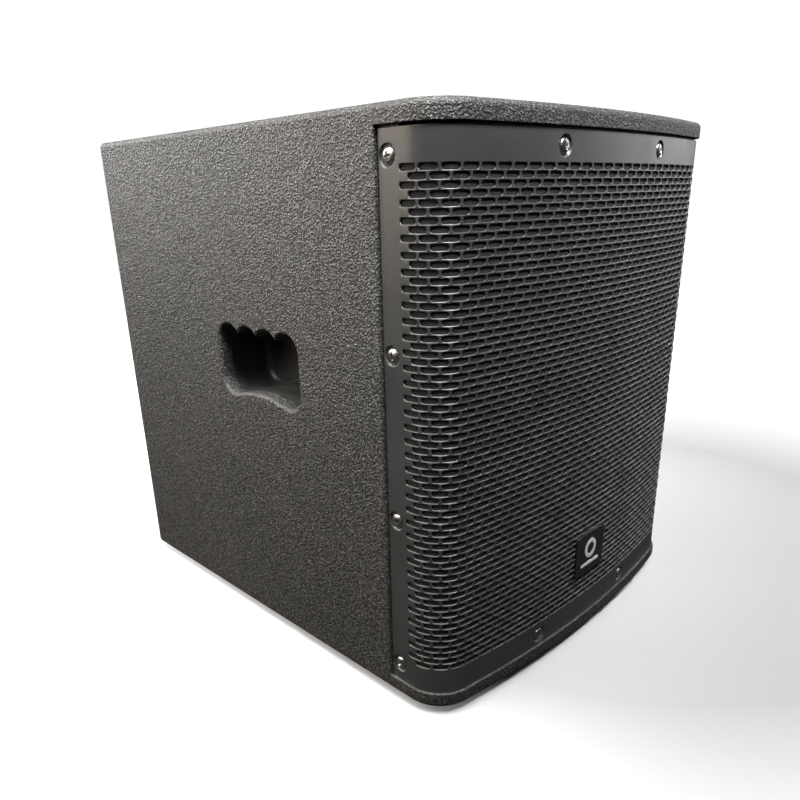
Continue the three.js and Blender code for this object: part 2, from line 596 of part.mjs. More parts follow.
function buildAmplifier() {
  const controlsZ = plateZ + 118;
  const powerZ = plateZ - 122;
  const xlrX = { input: 92, output: 52 };
  const knobX = { gain: 8, crossover: -38 };
  const phaseX = -84;
  const inletX = -60;
  const rockerX = 62;

  const clear = (x0, x1, z0, z1) => block(x0, x1, plateBack - 1, plateFace + 1, z0, z1);
  const plate = throughY(
    rectangle(-PLATE_WIDTH / 2, PLATE_WIDTH / 2, plateZ - PLATE_HEIGHT / 2, plateZ + PLATE_HEIGHT / 2),
    plateBack, plateFace,
  );
  const openings = [
    bar(11.9, plateBack - 1, plateFace + 1, xlrX.input, controlsZ, 20),
    bar(11.9, plateBack - 1, plateFace + 1, xlrX.output, controlsZ, 20),
    bar(3.5, plateBack - 1, plateFace + 1, knobX.gain, controlsZ),
    bar(3.5, plateBack - 1, plateFace + 1, knobX.crossover, controlsZ),
    clear(phaseX - 7, phaseX + 7, controlsZ - 3, controlsZ + 3),
    clear(inletX - 15, inletX + 15, powerZ - 11, powerZ + 11),
    clear(rockerX - 10.3, rockerX + 10.3, powerZ - 13.3, powerZ + 13.3),
  ];
  add("amplifier_plate", cut(plate, ...openings), blackMetal());

  add("xlr_input_socket", xlrSocket(xlrX.input, controlsZ, true), blackMetal());
  add("xlr_output_socket", xlrSocket(xlrX.output, controlsZ, false), blackMetal());
  add("gain_knob", knob(knobX.gain, controlsZ), blackPlastic());
  add("crossover_knob", knob(knobX.crossover, controlsZ), blackPlastic());

  const bezelFace = plateFace + GAP + 1.4;
  const switchBody = join(
    block(phaseX - 12, phaseX + 12, plateFace + GAP, bezelFace, controlsZ - 6, controlsZ + 6),
    block(phaseX - 6.6, phaseX + 6.6, plateBack - 8, plateFace + 1, controlsZ - 2.7, controlsZ + 2.7),
  );
  const slot = block(phaseX - 5, phaseX + 5, plateBack - 4, bezelFace + 1, controlsZ - 2, controlsZ + 2);
  add("phase_switch_body", cut(switchBody, slot), blackPlastic());
  const sliderFace = bezelFace + 2.6;
  const slider = block(
    phaseX - 4.7, phaseX - 0.7,
    plateBack - 3, sliderFace,
    controlsZ - 1.7, controlsZ + 1.7,
  );
  add("phase_slider", slider, finish(0x7a2020, 0.5));

  const inletFace = plateFace + GAP + 2.5;
  const inlet = join(
    block(inletX - 25, inletX + 25, plateFace + GAP, inletFace, powerZ - 14, powerZ + 14),
    block(inletX - 14.5, inletX + 14.5, plateBack - 20, plateFace + 1, powerZ - 10.5, powerZ + 10.5),
  );
  const mains = block(inletX - 12.2, inletX + 12.2, inletFace - 17, inletFace + 1, powerZ - 8, powerZ + 8);
  add("mains_inlet", cut(inlet, mains), blackPlastic());

  const housing = join(
    block(rockerX - 12.5, rockerX + 12.5, plateFace + GAP, plateFace + 2.4, powerZ - 16, powerZ + 16),
    block(rockerX - 9.9, rockerX + 9.9, plateBack - 14, plateFace + 1, powerZ - 12.9, powerZ + 12.9),
  );
  const wellFloor = plateBack - 11;
  const well = block(rockerX - 8.3, rockerX + 8.3, wellFloor, plateFace + 4, powerZ - 11.4, powerZ + 11.4);
  add("rocker_housing", cut(housing, well), blackPlastic());

  // The rocker's top is two flats that meet over its pivot; at rest it stands tipped to one side.
  const pivotY = plateFace - 3;
  const rocker = throughX(polygon([-3, -10.2], [5.4, -10.2], [3.4, 0], [5.4, 10.2], [-3, 10.2], [-5.6, 0]),
    rockerX - 7.9, rockerX + 7.9);
  const key = add("power_rocker", rocker, blackPlastic());
  key.position.set(0, pivotY, powerZ);
  key.rotation.x = THREE.MathUtils.degToRad(-8);

  const fins = [[-100, 4]];
  const finCount = 17;
  for (let fin = 0; fin < finCount; fin++) {
    const left = -100 + (fin * 197) / (finCount - 1);
    fins.push([left, 13], [left + 3, 13], [left + 3, 4]);
    if (fin < finCount - 1) fins.push([left + 197 / (finCount - 1), 4]);
  }
  const comb = polygon([100, 0], [-100, 0], ...fins.slice(1));
  const sink = extrude(comb, 150, 1).translate(0, plateFace + GAP, plateZ - 80);
  add("heatsink", sink, blackMetal());

  const boardY = plateBack - 32;
  const board = block(6, 112, boardY, boardY + 1.6, plateZ - 92, plateZ + 92);
  const parts = [
    bar(15, boardY - 34, boardY + 0.5, 30, plateZ + 66, 12),
    bar(15, boardY - 34, boardY + 0.5, 66, plateZ + 66, 12),
    block(14, 104, boardY - 22, boardY + 0.5, plateZ + 10, plateZ + 24),
    block(20, 60, boardY - 16, boardY + 0.5, plateZ - 70, plateZ - 34),
  ];
  const posts = [[11, -87], [107, -87], [11, 87], [107, 87]].map(([x, z]) =>
    bar(4, boardY + 1, plateBack - GAP, x, plateZ + z, 8));
  add("amplifier_board", join(board, ...parts, ...posts), finish(0x1d4a2e, 0.5));
  const coreY = plateBack - GAP;
  const core = [
    [14, coreY], [50, coreY], [54, coreY - 6],
    [54, coreY - 36], [50, coreY - 42], [14, coreY - 42],
  ];
  add("power_transformer", turned(core, 20, -60, plateZ - 32), finish(0x8a5a2a, 0.6));
}

buildBox();
buildPorts();
buildHandleCups();
buildFeet();
buildPoleSocket();
buildGrille();
buildDriver();
buildAmplifier();

export default part;
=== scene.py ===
import json
import math

import bmesh
import bpy
from mathutils import Matrix, Vector
from mathutils.geometry import delaunay_2d_cdt


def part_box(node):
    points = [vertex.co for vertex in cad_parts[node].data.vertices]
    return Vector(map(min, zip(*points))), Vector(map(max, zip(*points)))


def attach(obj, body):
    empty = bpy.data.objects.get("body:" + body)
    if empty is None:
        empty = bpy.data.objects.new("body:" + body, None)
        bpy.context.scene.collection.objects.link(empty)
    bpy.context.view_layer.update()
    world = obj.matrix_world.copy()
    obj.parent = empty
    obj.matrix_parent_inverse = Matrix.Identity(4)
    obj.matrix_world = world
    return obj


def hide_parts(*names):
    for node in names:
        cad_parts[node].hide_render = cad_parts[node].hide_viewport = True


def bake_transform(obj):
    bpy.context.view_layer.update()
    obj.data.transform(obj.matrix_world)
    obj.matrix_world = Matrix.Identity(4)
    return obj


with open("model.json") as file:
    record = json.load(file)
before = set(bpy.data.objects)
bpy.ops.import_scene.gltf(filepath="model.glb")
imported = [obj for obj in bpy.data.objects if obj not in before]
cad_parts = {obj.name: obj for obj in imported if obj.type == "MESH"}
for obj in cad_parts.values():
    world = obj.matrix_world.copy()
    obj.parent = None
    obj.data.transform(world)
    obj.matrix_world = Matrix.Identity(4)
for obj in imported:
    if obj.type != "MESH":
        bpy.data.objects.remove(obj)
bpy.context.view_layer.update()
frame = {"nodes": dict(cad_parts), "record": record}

MM = 0.001
TURN = 2 * math.pi
QUARTER = math.pi / 2

# ---- sizes in millimetres, as the CAD part has them ----
TOP_LO, TOP_HI = [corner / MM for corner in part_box("top_panel")]
BOTTOM_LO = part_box("bottom_panel")[0] / MM
GRILLE_LO, GRILLE_HI = [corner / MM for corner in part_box("grille")]
PLATE_LO, PLATE_HI = [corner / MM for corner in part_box("amplifier_plate")]
CUP_LO, CUP_HI = [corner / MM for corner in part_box("right_handle_cup")]
HALF_WIDTH = TOP_HI.x
FRONT = TOP_LO.y
BACK = TOP_HI.y
UNDERSIDE = BOTTOM_LO.z
CEILING = TOP_HI.z
PANEL = TOP_HI.z - TOP_LO.z
EDGE_RADIUS = 5.5
BACK_CORNER_RADIUS = 8
FRONT_RADIUS = 1158
CORNER_RADIUS = 38.6
FLANK_FRONT = -185.5
GRILLE_INSET = HALF_WIDTH - GRILLE_HI.x
GRILLE_SHEET = 1.2
TONGUE_LENGTH = 22
TONGUE_X = HALF_WIDTH - 4.1
SCREW_SETBACK = 10.8
SCREW_SPREAD = 80.2
SCREW_ROWS = (-216.3, -71.3, 71.3, 216.3)
SCREW_END_ROW = 222.5
SEAT_DEPTH = 2.4
GRILLE_MIDDLE = UNDERSIDE + 248.4
GRIP_Y = -12.6
GRIP_Z = UNDERSIDE + 285
GRIP_LOBE = 18
GRIP_PITCH = 30.6
GRIP_ARCH_DROP = 29.5
SOCKET_Y = 20
SOCKET_BORE = 17.8
SOCKET_FLANGE = 35.8
BAFFLE_FRONT = -178
DRIVER_Z = UNDERSIDE + 279
PLATE_FACE = PLATE_HI.y
CONTROL_SEAT = PLATE_FACE + 0.3
PLATE_Z = (PLATE_LO.z + PLATE_HI.z) / 2
CONTROLS_Z = PLATE_Z + 118
POWER_Z = PLATE_Z - 122
XLR_IN_X = 92
XLR_OUT_X = 52
GAIN_X = 8
CROSSOVER_X = -38
PHASE_X = -84
INLET_X = -60
ROCKER_X = 62
KNOB_SWEEP = 150
ROCKER_TIP = 8
UP = Vector((0, 0, 1))
DOWN = Vector((0, 0, -1))
AHEAD = Vector((0, -1, 0))
OUT_BEHIND = Vector((0, 1, 0))
OVERCUT = 9

CORNER_X = HALF_WIDTH - CORNER_RADIUS
BOW_Y = FRONT + FRONT_RADIUS
CORNER_Y = BOW_Y - math.sqrt((FRONT_RADIUS - CORNER_RADIUS) ** 2 - CORNER_X**2)
BOW_ANGLE = math.atan2(CORNER_X, BOW_Y - CORNER_Y)

# ---- shader building ----


def node(tree, kind, inputs=None, **settings):
    """One node, its inputs set to values or linked from other nodes' sockets."""
    made = tree.nodes.new(kind)
    for key, value in settings.items():
        setattr(made, key, value)
    for key, value in (inputs or {}).items():
        if isinstance(value, bpy.types.NodeSocket):
            tree.links.new(value, made.inputs[key])
        else:
            made.inputs[key].default_value = value
    return made


def maths(tree, operation, first, second=0.0):
    return node(tree, "ShaderNodeMath", {0: first, 1: second}, operation=operation).outputs[0]


def vector_maths(tree, operation, inputs):
    return node(tree, "ShaderNodeVectorMath", inputs, operation=operation).outputs


def spread(tree, value, low, high, to_low=0.0, to_high=1.0):
    """Maps a value from one range to another, held at the ends."""
    names = ("Value", "From Min", "From Max", "To Min", "To Max")
    inputs = dict(zip(names, (value, low, high, to_low, to_high)))
    return node(tree, "ShaderNodeMapRange", inputs).outputs["Result"]


def stretched(tree, vector, factors):
    return vector_maths(tree, "MULTIPLY", {0: vector, 1: factors})[0]


def noise(tree, vector, scale, detail=2.0, roughness=0.5):
    inputs = {"Vector": vector, "Scale": scale, "Detail": detail, "Roughness": roughness}
    return node(tree, "ShaderNodeTexNoise", inputs).outputs["Fac"]


def blended(tree, share, first, second):
    """A colour between two others, by a mask."""
    made = node(tree, "ShaderNodeMix", data_type="RGBA")
    for key, value in ((0, share), (6, first), (7, second)):
        if isinstance(value, bpy.types.NodeSocket):
            tree.links.new(value, made.inputs[key])
        elif key == 0:
            made.inputs[key].default_value = value
        else:
            made.inputs[key].default_value = (*value, 1)
    return made.outputs[2]


def shader_group(name, build, outputs, **numbers):
    """A group over a place vector and numbers with defaults; build returns its masks by name."""
    tree = bpy.data.node_groups.new(name, "ShaderNodeTree")
    tree.interface.new_socket("Vector", in_out="INPUT", socket_type="NodeSocketVector")
    for label, default in numbers.items():
        socket = tree.interface.new_socket(label, in_out="INPUT", socket_type="NodeSocketFloat")
        socket.default_value = default
    for label in outputs:
        tree.interface.new_socket(label, in_out="OUTPUT", socket_type="NodeSocketFloat")
    entry = tree.nodes.new("NodeGroupInput")
    leave = tree.nodes.new("NodeGroupOutput")
    for label, socket in build(tree, entry.outputs).items():
        tree.links.new(socket, leave.inputs[label])
    return tree


def build_pebbles(tree, given):
    """Sprayed texture paint: soft round beads of uneven size with pits between them; its Tip and Pit masks
    carry a painted highlight and painted shade.
    """
    scale = given["Scale"]
    wander = node(tree, "ShaderNodeTexNoise", {"Vector": given["Vector"], "Scale": scale, "Detail": 1.0})
    drift = vector_maths(tree, "SCALE", {0: wander.outputs["Color"], "Scale": 0.0016})[0]
    where = vector_maths(tree, "ADD", {0: given["Vector"], 1: drift})[0]
    cells = {"Vector": where, "Scale": scale, "Smoothness": 0.55}
    beads = node(tree, "ShaderNodeTexVoronoi", cells, feature="SMOOTH_F1")
    crown = spread(tree, beads.outputs["Distance"], 0.0, 0.75, 1.0, 0.0)
    lumps = noise(tree, given["Vector"], maths(tree, "MULTIPLY", scale, 0.55), 3.0, 0.6)
    height = maths(tree, "MULTIPLY", crown, spread(tree, lumps, 0.25, 0.75, 0.25, 1.2))
    return {
        "Height": height,
        "Pit": spread(tree, height, 0.12, 0.42, 1.0, 0.0),
        "Tip": spread(tree, height, 0.5, 0.85),
    }


def build_mottle(tree, given):
    """A soft uneven mask with chosen ends."""
    field = noise(tree, given["Vector"], given["Scale"], 4.0, 0.6)
    return {"Mask": spread(tree, field, given["Low"], given["High"])}


def build_scuffs(tree, given):
    """Short pale rubs that run in one direction, gathered in patches."""
    long = stretched(tree, given["Vector"], (1.0, 0.22, 1.0))
    streaks = spread(tree, noise(tree, long, 260.0, 2.0, 0.7), 0.66, 0.78)
    patches = spread(tree, noise(tree, given["Vector"], 9.0, 2.0), 0.56, 0.7)
    return {"Mask": maths(tree, "MULTIPLY", maths(tree, "MULTIPLY", streaks, patches), given["Amount"])}


def build_dust(tree, given):
    """Fine dust that settles on what faces up."""
    facing = node(tree, "ShaderNodeNewGeometry").outputs["Normal"]
    upward = node(tree, "ShaderNodeSeparateXYZ", {0: facing}).outputs["Z"]
    cloud = spread(tree, noise(tree, given["Vector"], 28.0, 5.0, 0.65), 0.35, 0.75)
    lying = maths(tree, "MULTIPLY", spread(tree, upward, 0.35, 1.0), cloud)
    return {"Mask": maths(tree, "MULTIPLY", lying, given["Amount"])}


def build_weave(tree, given):
    """Plain-woven threads seen as two crossed waves."""
    parts = node(tree, "ShaderNodeSeparateXYZ", {0: given["Vector"]}).outputs
    across = maths(tree, "SINE", maths(tree, "MULTIPLY", parts["X"], given["Scale"]))
    along = maths(tree, "SINE", maths(tree, "MULTIPLY", parts["Z"], given["Scale"]))
    return {"Height": spread(tree, maths(tree, "MULTIPLY", across, along), -1.0, 1.0)}


PEBBLES = shader_group("pebbled_paint", build_pebbles, ("Height", "Pit", "Tip"), Scale=430.0)
MOTTLE = shader_group("mottle", build_mottle, ("Mask",), Scale=40.0, Low=0.3, High=0.7)
SCUFFS = shader_group("scuffs", build_scuffs, ("Mask",), Amount=1.0)
DUST = shader_group("dust", build_dust, ("Mask",), Amount=1.0)
WEAVE = shader_group("weave", build_weave, ("Height",), Scale=2500.0)


def use(tree, group, **values):
    """A group placed in a material, its inputs set to values or sockets."""
    return node(tree, "ShaderNodeGroup", values, node_tree=group).outputs


class Finish:
    """A material being made: its tree, its place coordinates and its surface shader."""

    def __init__(self, name, **surface):
        self.material = bpy.data.materials.new(name)
        self.material.use_nodes = True
        self.tree = self.material.node_tree
        self.shader = self.tree.nodes["Principled BSDF"]
        self.place = node(self.tree, "ShaderNodeTexCoord").outputs["Object"]
        for label, value in surface.items():
            self.shader.inputs[label.replace("_", " ")].default_value = value

    def colour(self, socket):
        self.tree.links.new(socket, self.shader.inputs["Base Color"])

    def roughness(self, socket):
        self.tree.links.new(socket, self.shader.inputs["Roughness"])

    def relief(self, height, distance, strength=1.0):
        inputs = {"Strength": strength, "Distance": distance, "Height": height}
        bump = node(self.tree, "ShaderNodeBump", inputs)
        self.tree.links.new(bump.outputs["Normal"], self.shader.inputs["Normal"])


PEBBLE_SCALE = 560.0
PEBBLE_RELIEF = 0.0009
PAINT_DARK = (0.036, 0.036, 0.036)
PAINT_WARM = (0.05, 0.047, 0.043)
# painted highlight on the bead tips, and painted shade in the pits between them
TIP_HIGHLIGHT = (0.2, 0.198, 0.192)
PIT_SHADE = (0.004, 0.004, 0.004)
PAINT_RUB = (0.22, 0.21, 0.2)
PAINT_DUST = (0.2, 0.19, 0.175)
SKIN_DUST = (0.24, 0.23, 0.21)


def textured_paint():
    """Beads of sprayed paint with a painted highlight on their tips and painted shade in their pits, rubbed
    and dusty in places.
    """
    made = Finish("textured_paint", Specular_IOR_Level=0.5)
    tree = made.tree
    beads = use(tree, PEBBLES, Vector=made.place, Scale=PEBBLE_SCALE)
    cloud = use(tree, MOTTLE, Vector=made.place, Scale=7.0, Low=0.3, High=0.7)["Mask"]
    rubs = use(tree, SCUFFS, Vector=made.place, Amount=0.35)["Mask"]
    dust = use(tree, DUST, Vector=made.place, Amount=0.12)["Mask"]
    body = blended(tree, cloud, PAINT_DARK, PAINT_WARM)
    # painted highlight lightens the bead tips; painted shade darkens the pits
    body = blended(tree, maths(tree, "MULTIPLY", beads["Tip"], 0.7), body, TIP_HIGHLIGHT)
    body = blended(tree, maths(tree, "MULTIPLY", beads["Pit"], 0.9), body, PIT_SHADE)
    body = blended(tree, rubs, body, PAINT_RUB)
    made.colour(blended(tree, dust, body, PAINT_DUST))
    made.roughness(spread(tree, beads["Height"], 0.1, 0.8, 0.6, 0.32))
    made.relief(beads["Height"], PEBBLE_RELIEF, 1.0)
    return made.material


def speckled(name, dark, light, rough, grain=900.0, depth=0.00012, dust=0.15):
    """A sprayed or moulded skin: fine grain in colour, gloss and height, with a little dust on top."""
    made = Finish(name)
    tree = made.tree
    fine = use(tree, MOTTLE, Vector=made.place, Scale=grain, Low=0.3, High=0.7)["Mask"]
    cloud = use(tree, MOTTLE, Vector=made.place, Scale=14.0, Low=0.3, High=0.7)["Mask"]
    tone = blended(tree, maths(tree, "MULTIPLY", maths(tree, "ADD", fine, cloud), 0.5), dark, light)
    lying = use(tree, DUST, Vector=made.place, Amount=dust)["Mask"]
    made.colour(blended(tree, lying, tone, SKIN_DUST))
    made.roughness(spread(tree, cloud, 0.0, 1.0, rough - 0.06, rough + 0.08))
    made.relief(fine, depth, 0.6)
    return made.material


def streaked(name, dark, light, rough, stretch, scale, depth=0.00008, metal=0.0):
    """Wood grain, brushed metal or wound wire: a noise drawn out along one direction."""
    made = Finish(name, Metallic=metal)
    tree = made.tree
    drawn = stretched(tree, made.place, stretch)
    lines = spread(tree, noise(tree, drawn, scale, 5.0, 0.6), 0.3, 0.7)
    cloud = use(tree, MOTTLE, Vector=made.place, Scale=12.0, Low=0.3, High=0.7)["Mask"]
    made.colour(blended(tree, lines, dark, light))
    made.roughness(spread(tree, cloud, 0.0, 1.0, rough - 0.05, rough + 0.08))
    made.relief(lines, depth, 0.6)
    return made.material


def porous(name, dark, light, rough, scale, depth):
    """Foam, felt or pressed pulp: cells or fibres whose colour darkens where the relief is low, painted shade
    in the gaps.
    """
    made = Finish(name)
    tree = made.tree
    cells = node(tree, "ShaderNodeTexVoronoi", {"Vector": made.place, "Scale": scale})
    fibres = noise(tree, made.place, scale * 1.7, 4.0, 0.7)
    height = maths(tree, "MULTIPLY", spread(tree, cells.outputs["Distance"], 0.0, 0.7), fibres)
    # painted shade: the colour darkens where the relief is low
    made.colour(blended(tree, spread(tree, height, 0.1, 0.5), dark, light))
    made.roughness(spread(tree, fibres, 0.3, 0.7, rough - 0.04, rough + 0.04))
    made.relief(height, depth, 0.8)
    return made.material


def woven(name, dark, light, rough, scale, depth):
    """Crossed threads that change tone over the cloth, with painted shade where the threads dip."""
    made = Finish(name)
    tree = made.tree
    threads = use(tree, WEAVE, Vector=made.place, Scale=scale)["Height"]
    cloud = use(tree, MOTTLE, Vector=made.place, Scale=60.0, Low=0.25, High=0.75)["Mask"]
    # painted shade: darker where the threads dip, times a tone that changes over the cloth
    made.colour(blended(tree, maths(tree, "MULTIPLY", threads, cloud), dark, light))
    made.roughness(spread(tree, cloud, 0.0, 1.0, rough - 0.05, rough + 0.05))
    made.relief(threads, depth, 0.8)
    return made.material


# how it is made, its name, dark and light tones, roughness, then what that maker takes
LOOKS = (
    (streaked, "black_wood", (0.01, 0.01, 0.01), (0.03, 0.029, 0.028), 0.7, (0.08, 1, 1), 160.0),
    (streaked, "bare_wood", (0.3, 0.19, 0.1), (0.56, 0.4, 0.25), 0.62, (0.06, 1, 1), 120.0),
    (speckled, "black_plastic", (0.012, 0.012, 0.012), (0.026, 0.026, 0.026), 0.4),
    (speckled, "red_plastic", (0.3, 0.02, 0.02), (0.42, 0.035, 0.03), 0.35),
    (speckled, "black_rubber", (0.01, 0.01, 0.01), (0.024, 0.024, 0.023), 0.72, 600.0, 0.0002),
    (speckled, "black_metal", (0.014, 0.014, 0.015), (0.03, 0.03, 0.031), 0.42, 700.0, 0.0001),
    (speckled, "grille_paint", (0.022, 0.023, 0.023), (0.036, 0.037, 0.037), 0.32, 750.0, 0.00006, 0.25),
    (porous, "acoustic_foam", (0.002, 0.002, 0.002), (0.011, 0.011, 0.011), 0.95, 900.0, 0.0008),
    (speckled, "badge_plastic", (0.008, 0.008, 0.009), (0.014, 0.014, 0.015), 0.22, 500.0, 0.00003),
    (streaked, "bright_metal", (0.6, 0.6, 0.58), (0.82, 0.82, 0.79), 0.36, (1, 1, 0.05), 900.0, 0.00004, 0.5),
    (speckled, "pale_print", (0.5, 0.5, 0.48), (0.66, 0.66, 0.63), 0.55, 500.0, 0.00002, 0.0),
    (streaked, "screw_steel", (0.3, 0.3, 0.29), (0.58, 0.58, 0.56), 0.28, (1, 1, 1), 700.0, 0.00005, 1.0),
    (woven, "spider_cloth", (0.22, 0.12, 0.04), (0.52, 0.33, 0.14), 0.8, 3200.0, 0.0003),
    (streaked, "plated_steel", (0.3, 0.3, 0.3), (0.55, 0.55, 0.54), 0.34, (1, 0.1, 1), 260.0, 0.00005, 1.0),
    (speckled, "ferrite", (0.02, 0.02, 0.021), (0.05, 0.05, 0.052), 0.55, 500.0, 0.0002),
    (porous, "paper_pulp", (0.008, 0.008, 0.008), (0.04, 0.04, 0.039), 0.85, 380.0, 0.0005),
    (streaked, "copper_wire", (0.3, 0.1, 0.04), (0.62, 0.28, 0.14), 0.35, (0.05, 3, 0.05), 500, 0.0002, 1.0),
    (speckled, "black_aluminium", (0.014, 0.014, 0.015), (0.028, 0.028, 0.029), 0.42, 800.0, 0.00008, 0.2),
    (speckled, "circuit_board", (0.01, 0.06, 0.03), (0.03, 0.13, 0.065), 0.35, 160.0, 0.0001),
    (streaked, "transformer_winding", (0.28, 0.13, 0.03), (0.6, 0.34, 0.12), 0.35, (0.3, 0.05, 1), 400, 3e-4),
)
FINISHES = {"textured_paint": textured_paint()}
for maker, look_name, *look in LOOKS:
    FINISHES[look_name] = maker(look_name, *look)

# ---- mesh building ----


def mesh_object(name, points, faces):
    """A piece from points in millimetres."""
    mesh = bpy.data.meshes.new(name)
    mesh.from_pydata([Vector(point) * MM for point in points], [], faces)
    made = bpy.data.objects.new(name, mesh)
    bpy.context.scene.collection.objects.link(made)
    return made


def settled(piece):
    """The piece with its modifiers applied."""
    graph = bpy.context.evaluated_depsgraph_get()
    graph.update()
    mesh = bpy.data.meshes.new_from_object(piece.evaluated_get(graph), depsgraph=graph)
    mesh.name = piece.name
    piece.modifiers.clear()
    piece.data = mesh
    return piece


def discard(*objects):
    for one in objects:
        bpy.data.objects.remove(one)


def carved(piece, *tools):
    """The piece with the tools' shapes cut out of it."""
    for tool in tools:
        cut = piece.modifiers.new("cut", "BOOLEAN")
        cut.operation = "DIFFERENCE"
        cut.solver = "EXACT"
        cut.object = tool
    settled(piece)
    discard(*tools)
    return piece


def softened(piece, width, segments=2, limit=35):
    """Small rounds on the sharp edges, with the flats kept flat."""
    bevel = piece.modifiers.new("edges", "BEVEL")
    bevel.width = width * MM
    bevel.segments = segments
    bevel.limit_method = "ANGLE"
    bevel.angle_limit = math.radians(limit)
    bevel.use_clamp_overlap = True
    return settled(piece)


def shaded(piece, limit=40):
    """Smooth shading that breaks at edges sharper than the limit."""
    mesh = piece.data
    work = bmesh.new()
    work.from_mesh(mesh)
    for face in work.faces:
        face.smooth = True
    for edge in work.edges:
        edge.smooth = len(edge.link_faces) == 2 and edge.calc_face_angle(0.0) < math.radians(limit)
    work.to_mesh(mesh)
    work.free()
    even = piece.modifiers.new("even", "WEIGHTED_NORMAL")
    even.keep_sharp = True
    even.weight = 100
    return settled(piece)


def tidied(piece, reach=1e-6, slivers=False):
    """Doubles merged, slivers dissolved where asked, and every face turned outwards."""
    work = bmesh.new()
    work.from_mesh(piece.data)
    bmesh.ops.remove_doubles(work, verts=work.verts, dist=reach)
    if slivers:
        bmesh.ops.dissolve_degenerate(work, edges=work.edges, dist=reach)
    bmesh.ops.recalc_face_normals(work, faces=work.faces)
    work.to_mesh(piece.data)
    work.free()
    return piece


def painted(piece, finish):
    piece.data.materials.clear()
    piece.data.materials.append(FINISHES[finish])
    return piece


def placed(piece, body, finish, *stands_for):
    """Paints the piece, hides the CAD nodes that it stands for and fixes it to its body."""
    painted(piece, finish)
    if stands_for:
        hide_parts(*stands_for)
    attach(piece, body)
    return piece


def lofted(name, rings):
    """A closed skin over rings of points, all with the same count."""
    points = [point for ring in rings for point in ring]
    count = len(rings[0])
    faces = []
    for level in range(len(rings) - 1):
        base = level * count
        for i in range(count):
            j = (i + 1) % count
            faces.append((base + i, base + j, base + count + j, base + count + i))
    faces.append(tuple(reversed(range(count))))
    faces.append(tuple(range(len(points) - count, len(points))))
    return tidied(mesh_object(name, points, faces))


def arc(centre, radius, start, end, steps, ends=True):
    """Points on an arc in a plane; the last is left out when the next curve supplies it."""
    last = steps + 1 if ends else steps
    return [
        (
            centre[0] + radius * math.cos(start + (end - start) * i / steps),
            centre[1] + radius * math.sin(start + (end - start) * i / steps),
        )
        for i in range(last)
    ]


def disc_line(x, z, radius, steps=40):
    return arc((x, z), radius, 0, TURN, steps, False)


def front_line(inset, bow_steps=64, corner_steps=18):
    """The front seen from above, from left flank to right flank, moved inwards."""
    ahead = -QUARTER
    left = arc((-CORNER_X, CORNER_Y), CORNER_RADIUS - inset, -math.pi, ahead - BOW_ANGLE, corner_steps, False)
    bow = arc((0, BOW_Y), FRONT_RADIUS - inset, ahead - BOW_ANGLE, ahead + BOW_ANGLE, bow_steps, False)
    right = arc((CORNER_X, CORNER_Y), CORNER_RADIUS - inset, ahead + BOW_ANGLE, 0, corner_steps)
    return left + bow + right


def box_line(inset):
    """The whole box seen from above, with small rounds at the back."""
    reach = HALF_WIDTH - BACK_CORNER_RADIUS
    depth = BACK - BACK_CORNER_RADIUS
    right = arc((reach, depth), BACK_CORNER_RADIUS - inset, 0, QUARTER, 6)
    left = arc((-reach, depth), BACK_CORNER_RADIUS - inset, QUARTER, math.pi, 6)
    return front_line(inset) + right + left


def grip_line(grow):
    """The hand pocket in (y, z): four finger scallops above, two round corners and a low arch below."""
    radius = GRIP_LOBE + grow
    reach = 1.5 * GRIP_PITCH
    notch = math.acos(GRIP_PITCH / 2 / radius)
    fall = GRIP_ARCH_DROP - GRIP_LOBE
    arch = (reach**2 + fall**2 - GRIP_LOBE**2) / (2 * (2 * GRIP_LOBE - GRIP_ARCH_DROP))
    arch_z = GRIP_Z - GRIP_ARCH_DROP - arch
    low = GRIP_Z - GRIP_LOBE
    lean = math.atan2(reach, low - arch_z)
    line = [(GRIP_Y + reach + radius, low)]
    for finger in range(4):
        start = 0 if finger == 0 else notch
        end = math.pi if finger == 3 else math.pi - notch
        line += arc((GRIP_Y + reach - finger * GRIP_PITCH, GRIP_Z + GRIP_LOBE), radius, start, end, 14)
    swing = QUARTER + lean
    line += arc((GRIP_Y - reach, low), radius, math.pi, math.pi + swing, 14)
    line += arc((GRIP_Y, arch_z), arch - grow, swing, math.pi - swing, 24)[1:-1]
    line += arc((GRIP_Y + reach, low), radius, -swing, 0, 14)[:-1]
    return line


def drawn_in(line, amount):
    """The pocket's outline shrunk about its middle, by about the amount at its lower corners."""
    share = 1 - amount / (2 * GRIP_PITCH)
    return [(GRIP_Y + (y - GRIP_Y) * share, GRIP_Z + (z - GRIP_Z) * share) for y, z in line]


def prism(name, line, low, high, axis="z"):
    """An outline in the two other axes, stretched along one axis."""
    slot = "xyz".index(axis)
    return lofted(name, [[(*spot[:slot], level, *spot[slot:]) for spot in line] for level in (low, high)])


def turned(name, profile, steps, centre, axis):
    """A closed profile of (radius, height) pairs turned about an axis through a point."""
    frame_of = {"z": Matrix.Identity(3), "y": Matrix(((1, 0, 0), (0, 0, 1), (0, -1, 0)))}[axis]
    points, faces = [], []
    count = len(profile)
    for step in range(steps):
        angle = TURN * step / steps
        for radius, height in profile:
            spot = Vector((radius * math.cos(angle), radius * math.sin(angle), height))
            points.append(Vector(centre) + frame_of @ spot)
    for step in range(steps):
        near, far = step * count, ((step + 1) % steps) * count
        for i in range(count):
            j = (i + 1) % count
            if profile[i][0] == 0 and profile[j][0] == 0:
                continue
            faces.append((near + i, far + i, far + j, near + j))
    return tidied(mesh_object(name, points, faces), 1e-7, True)


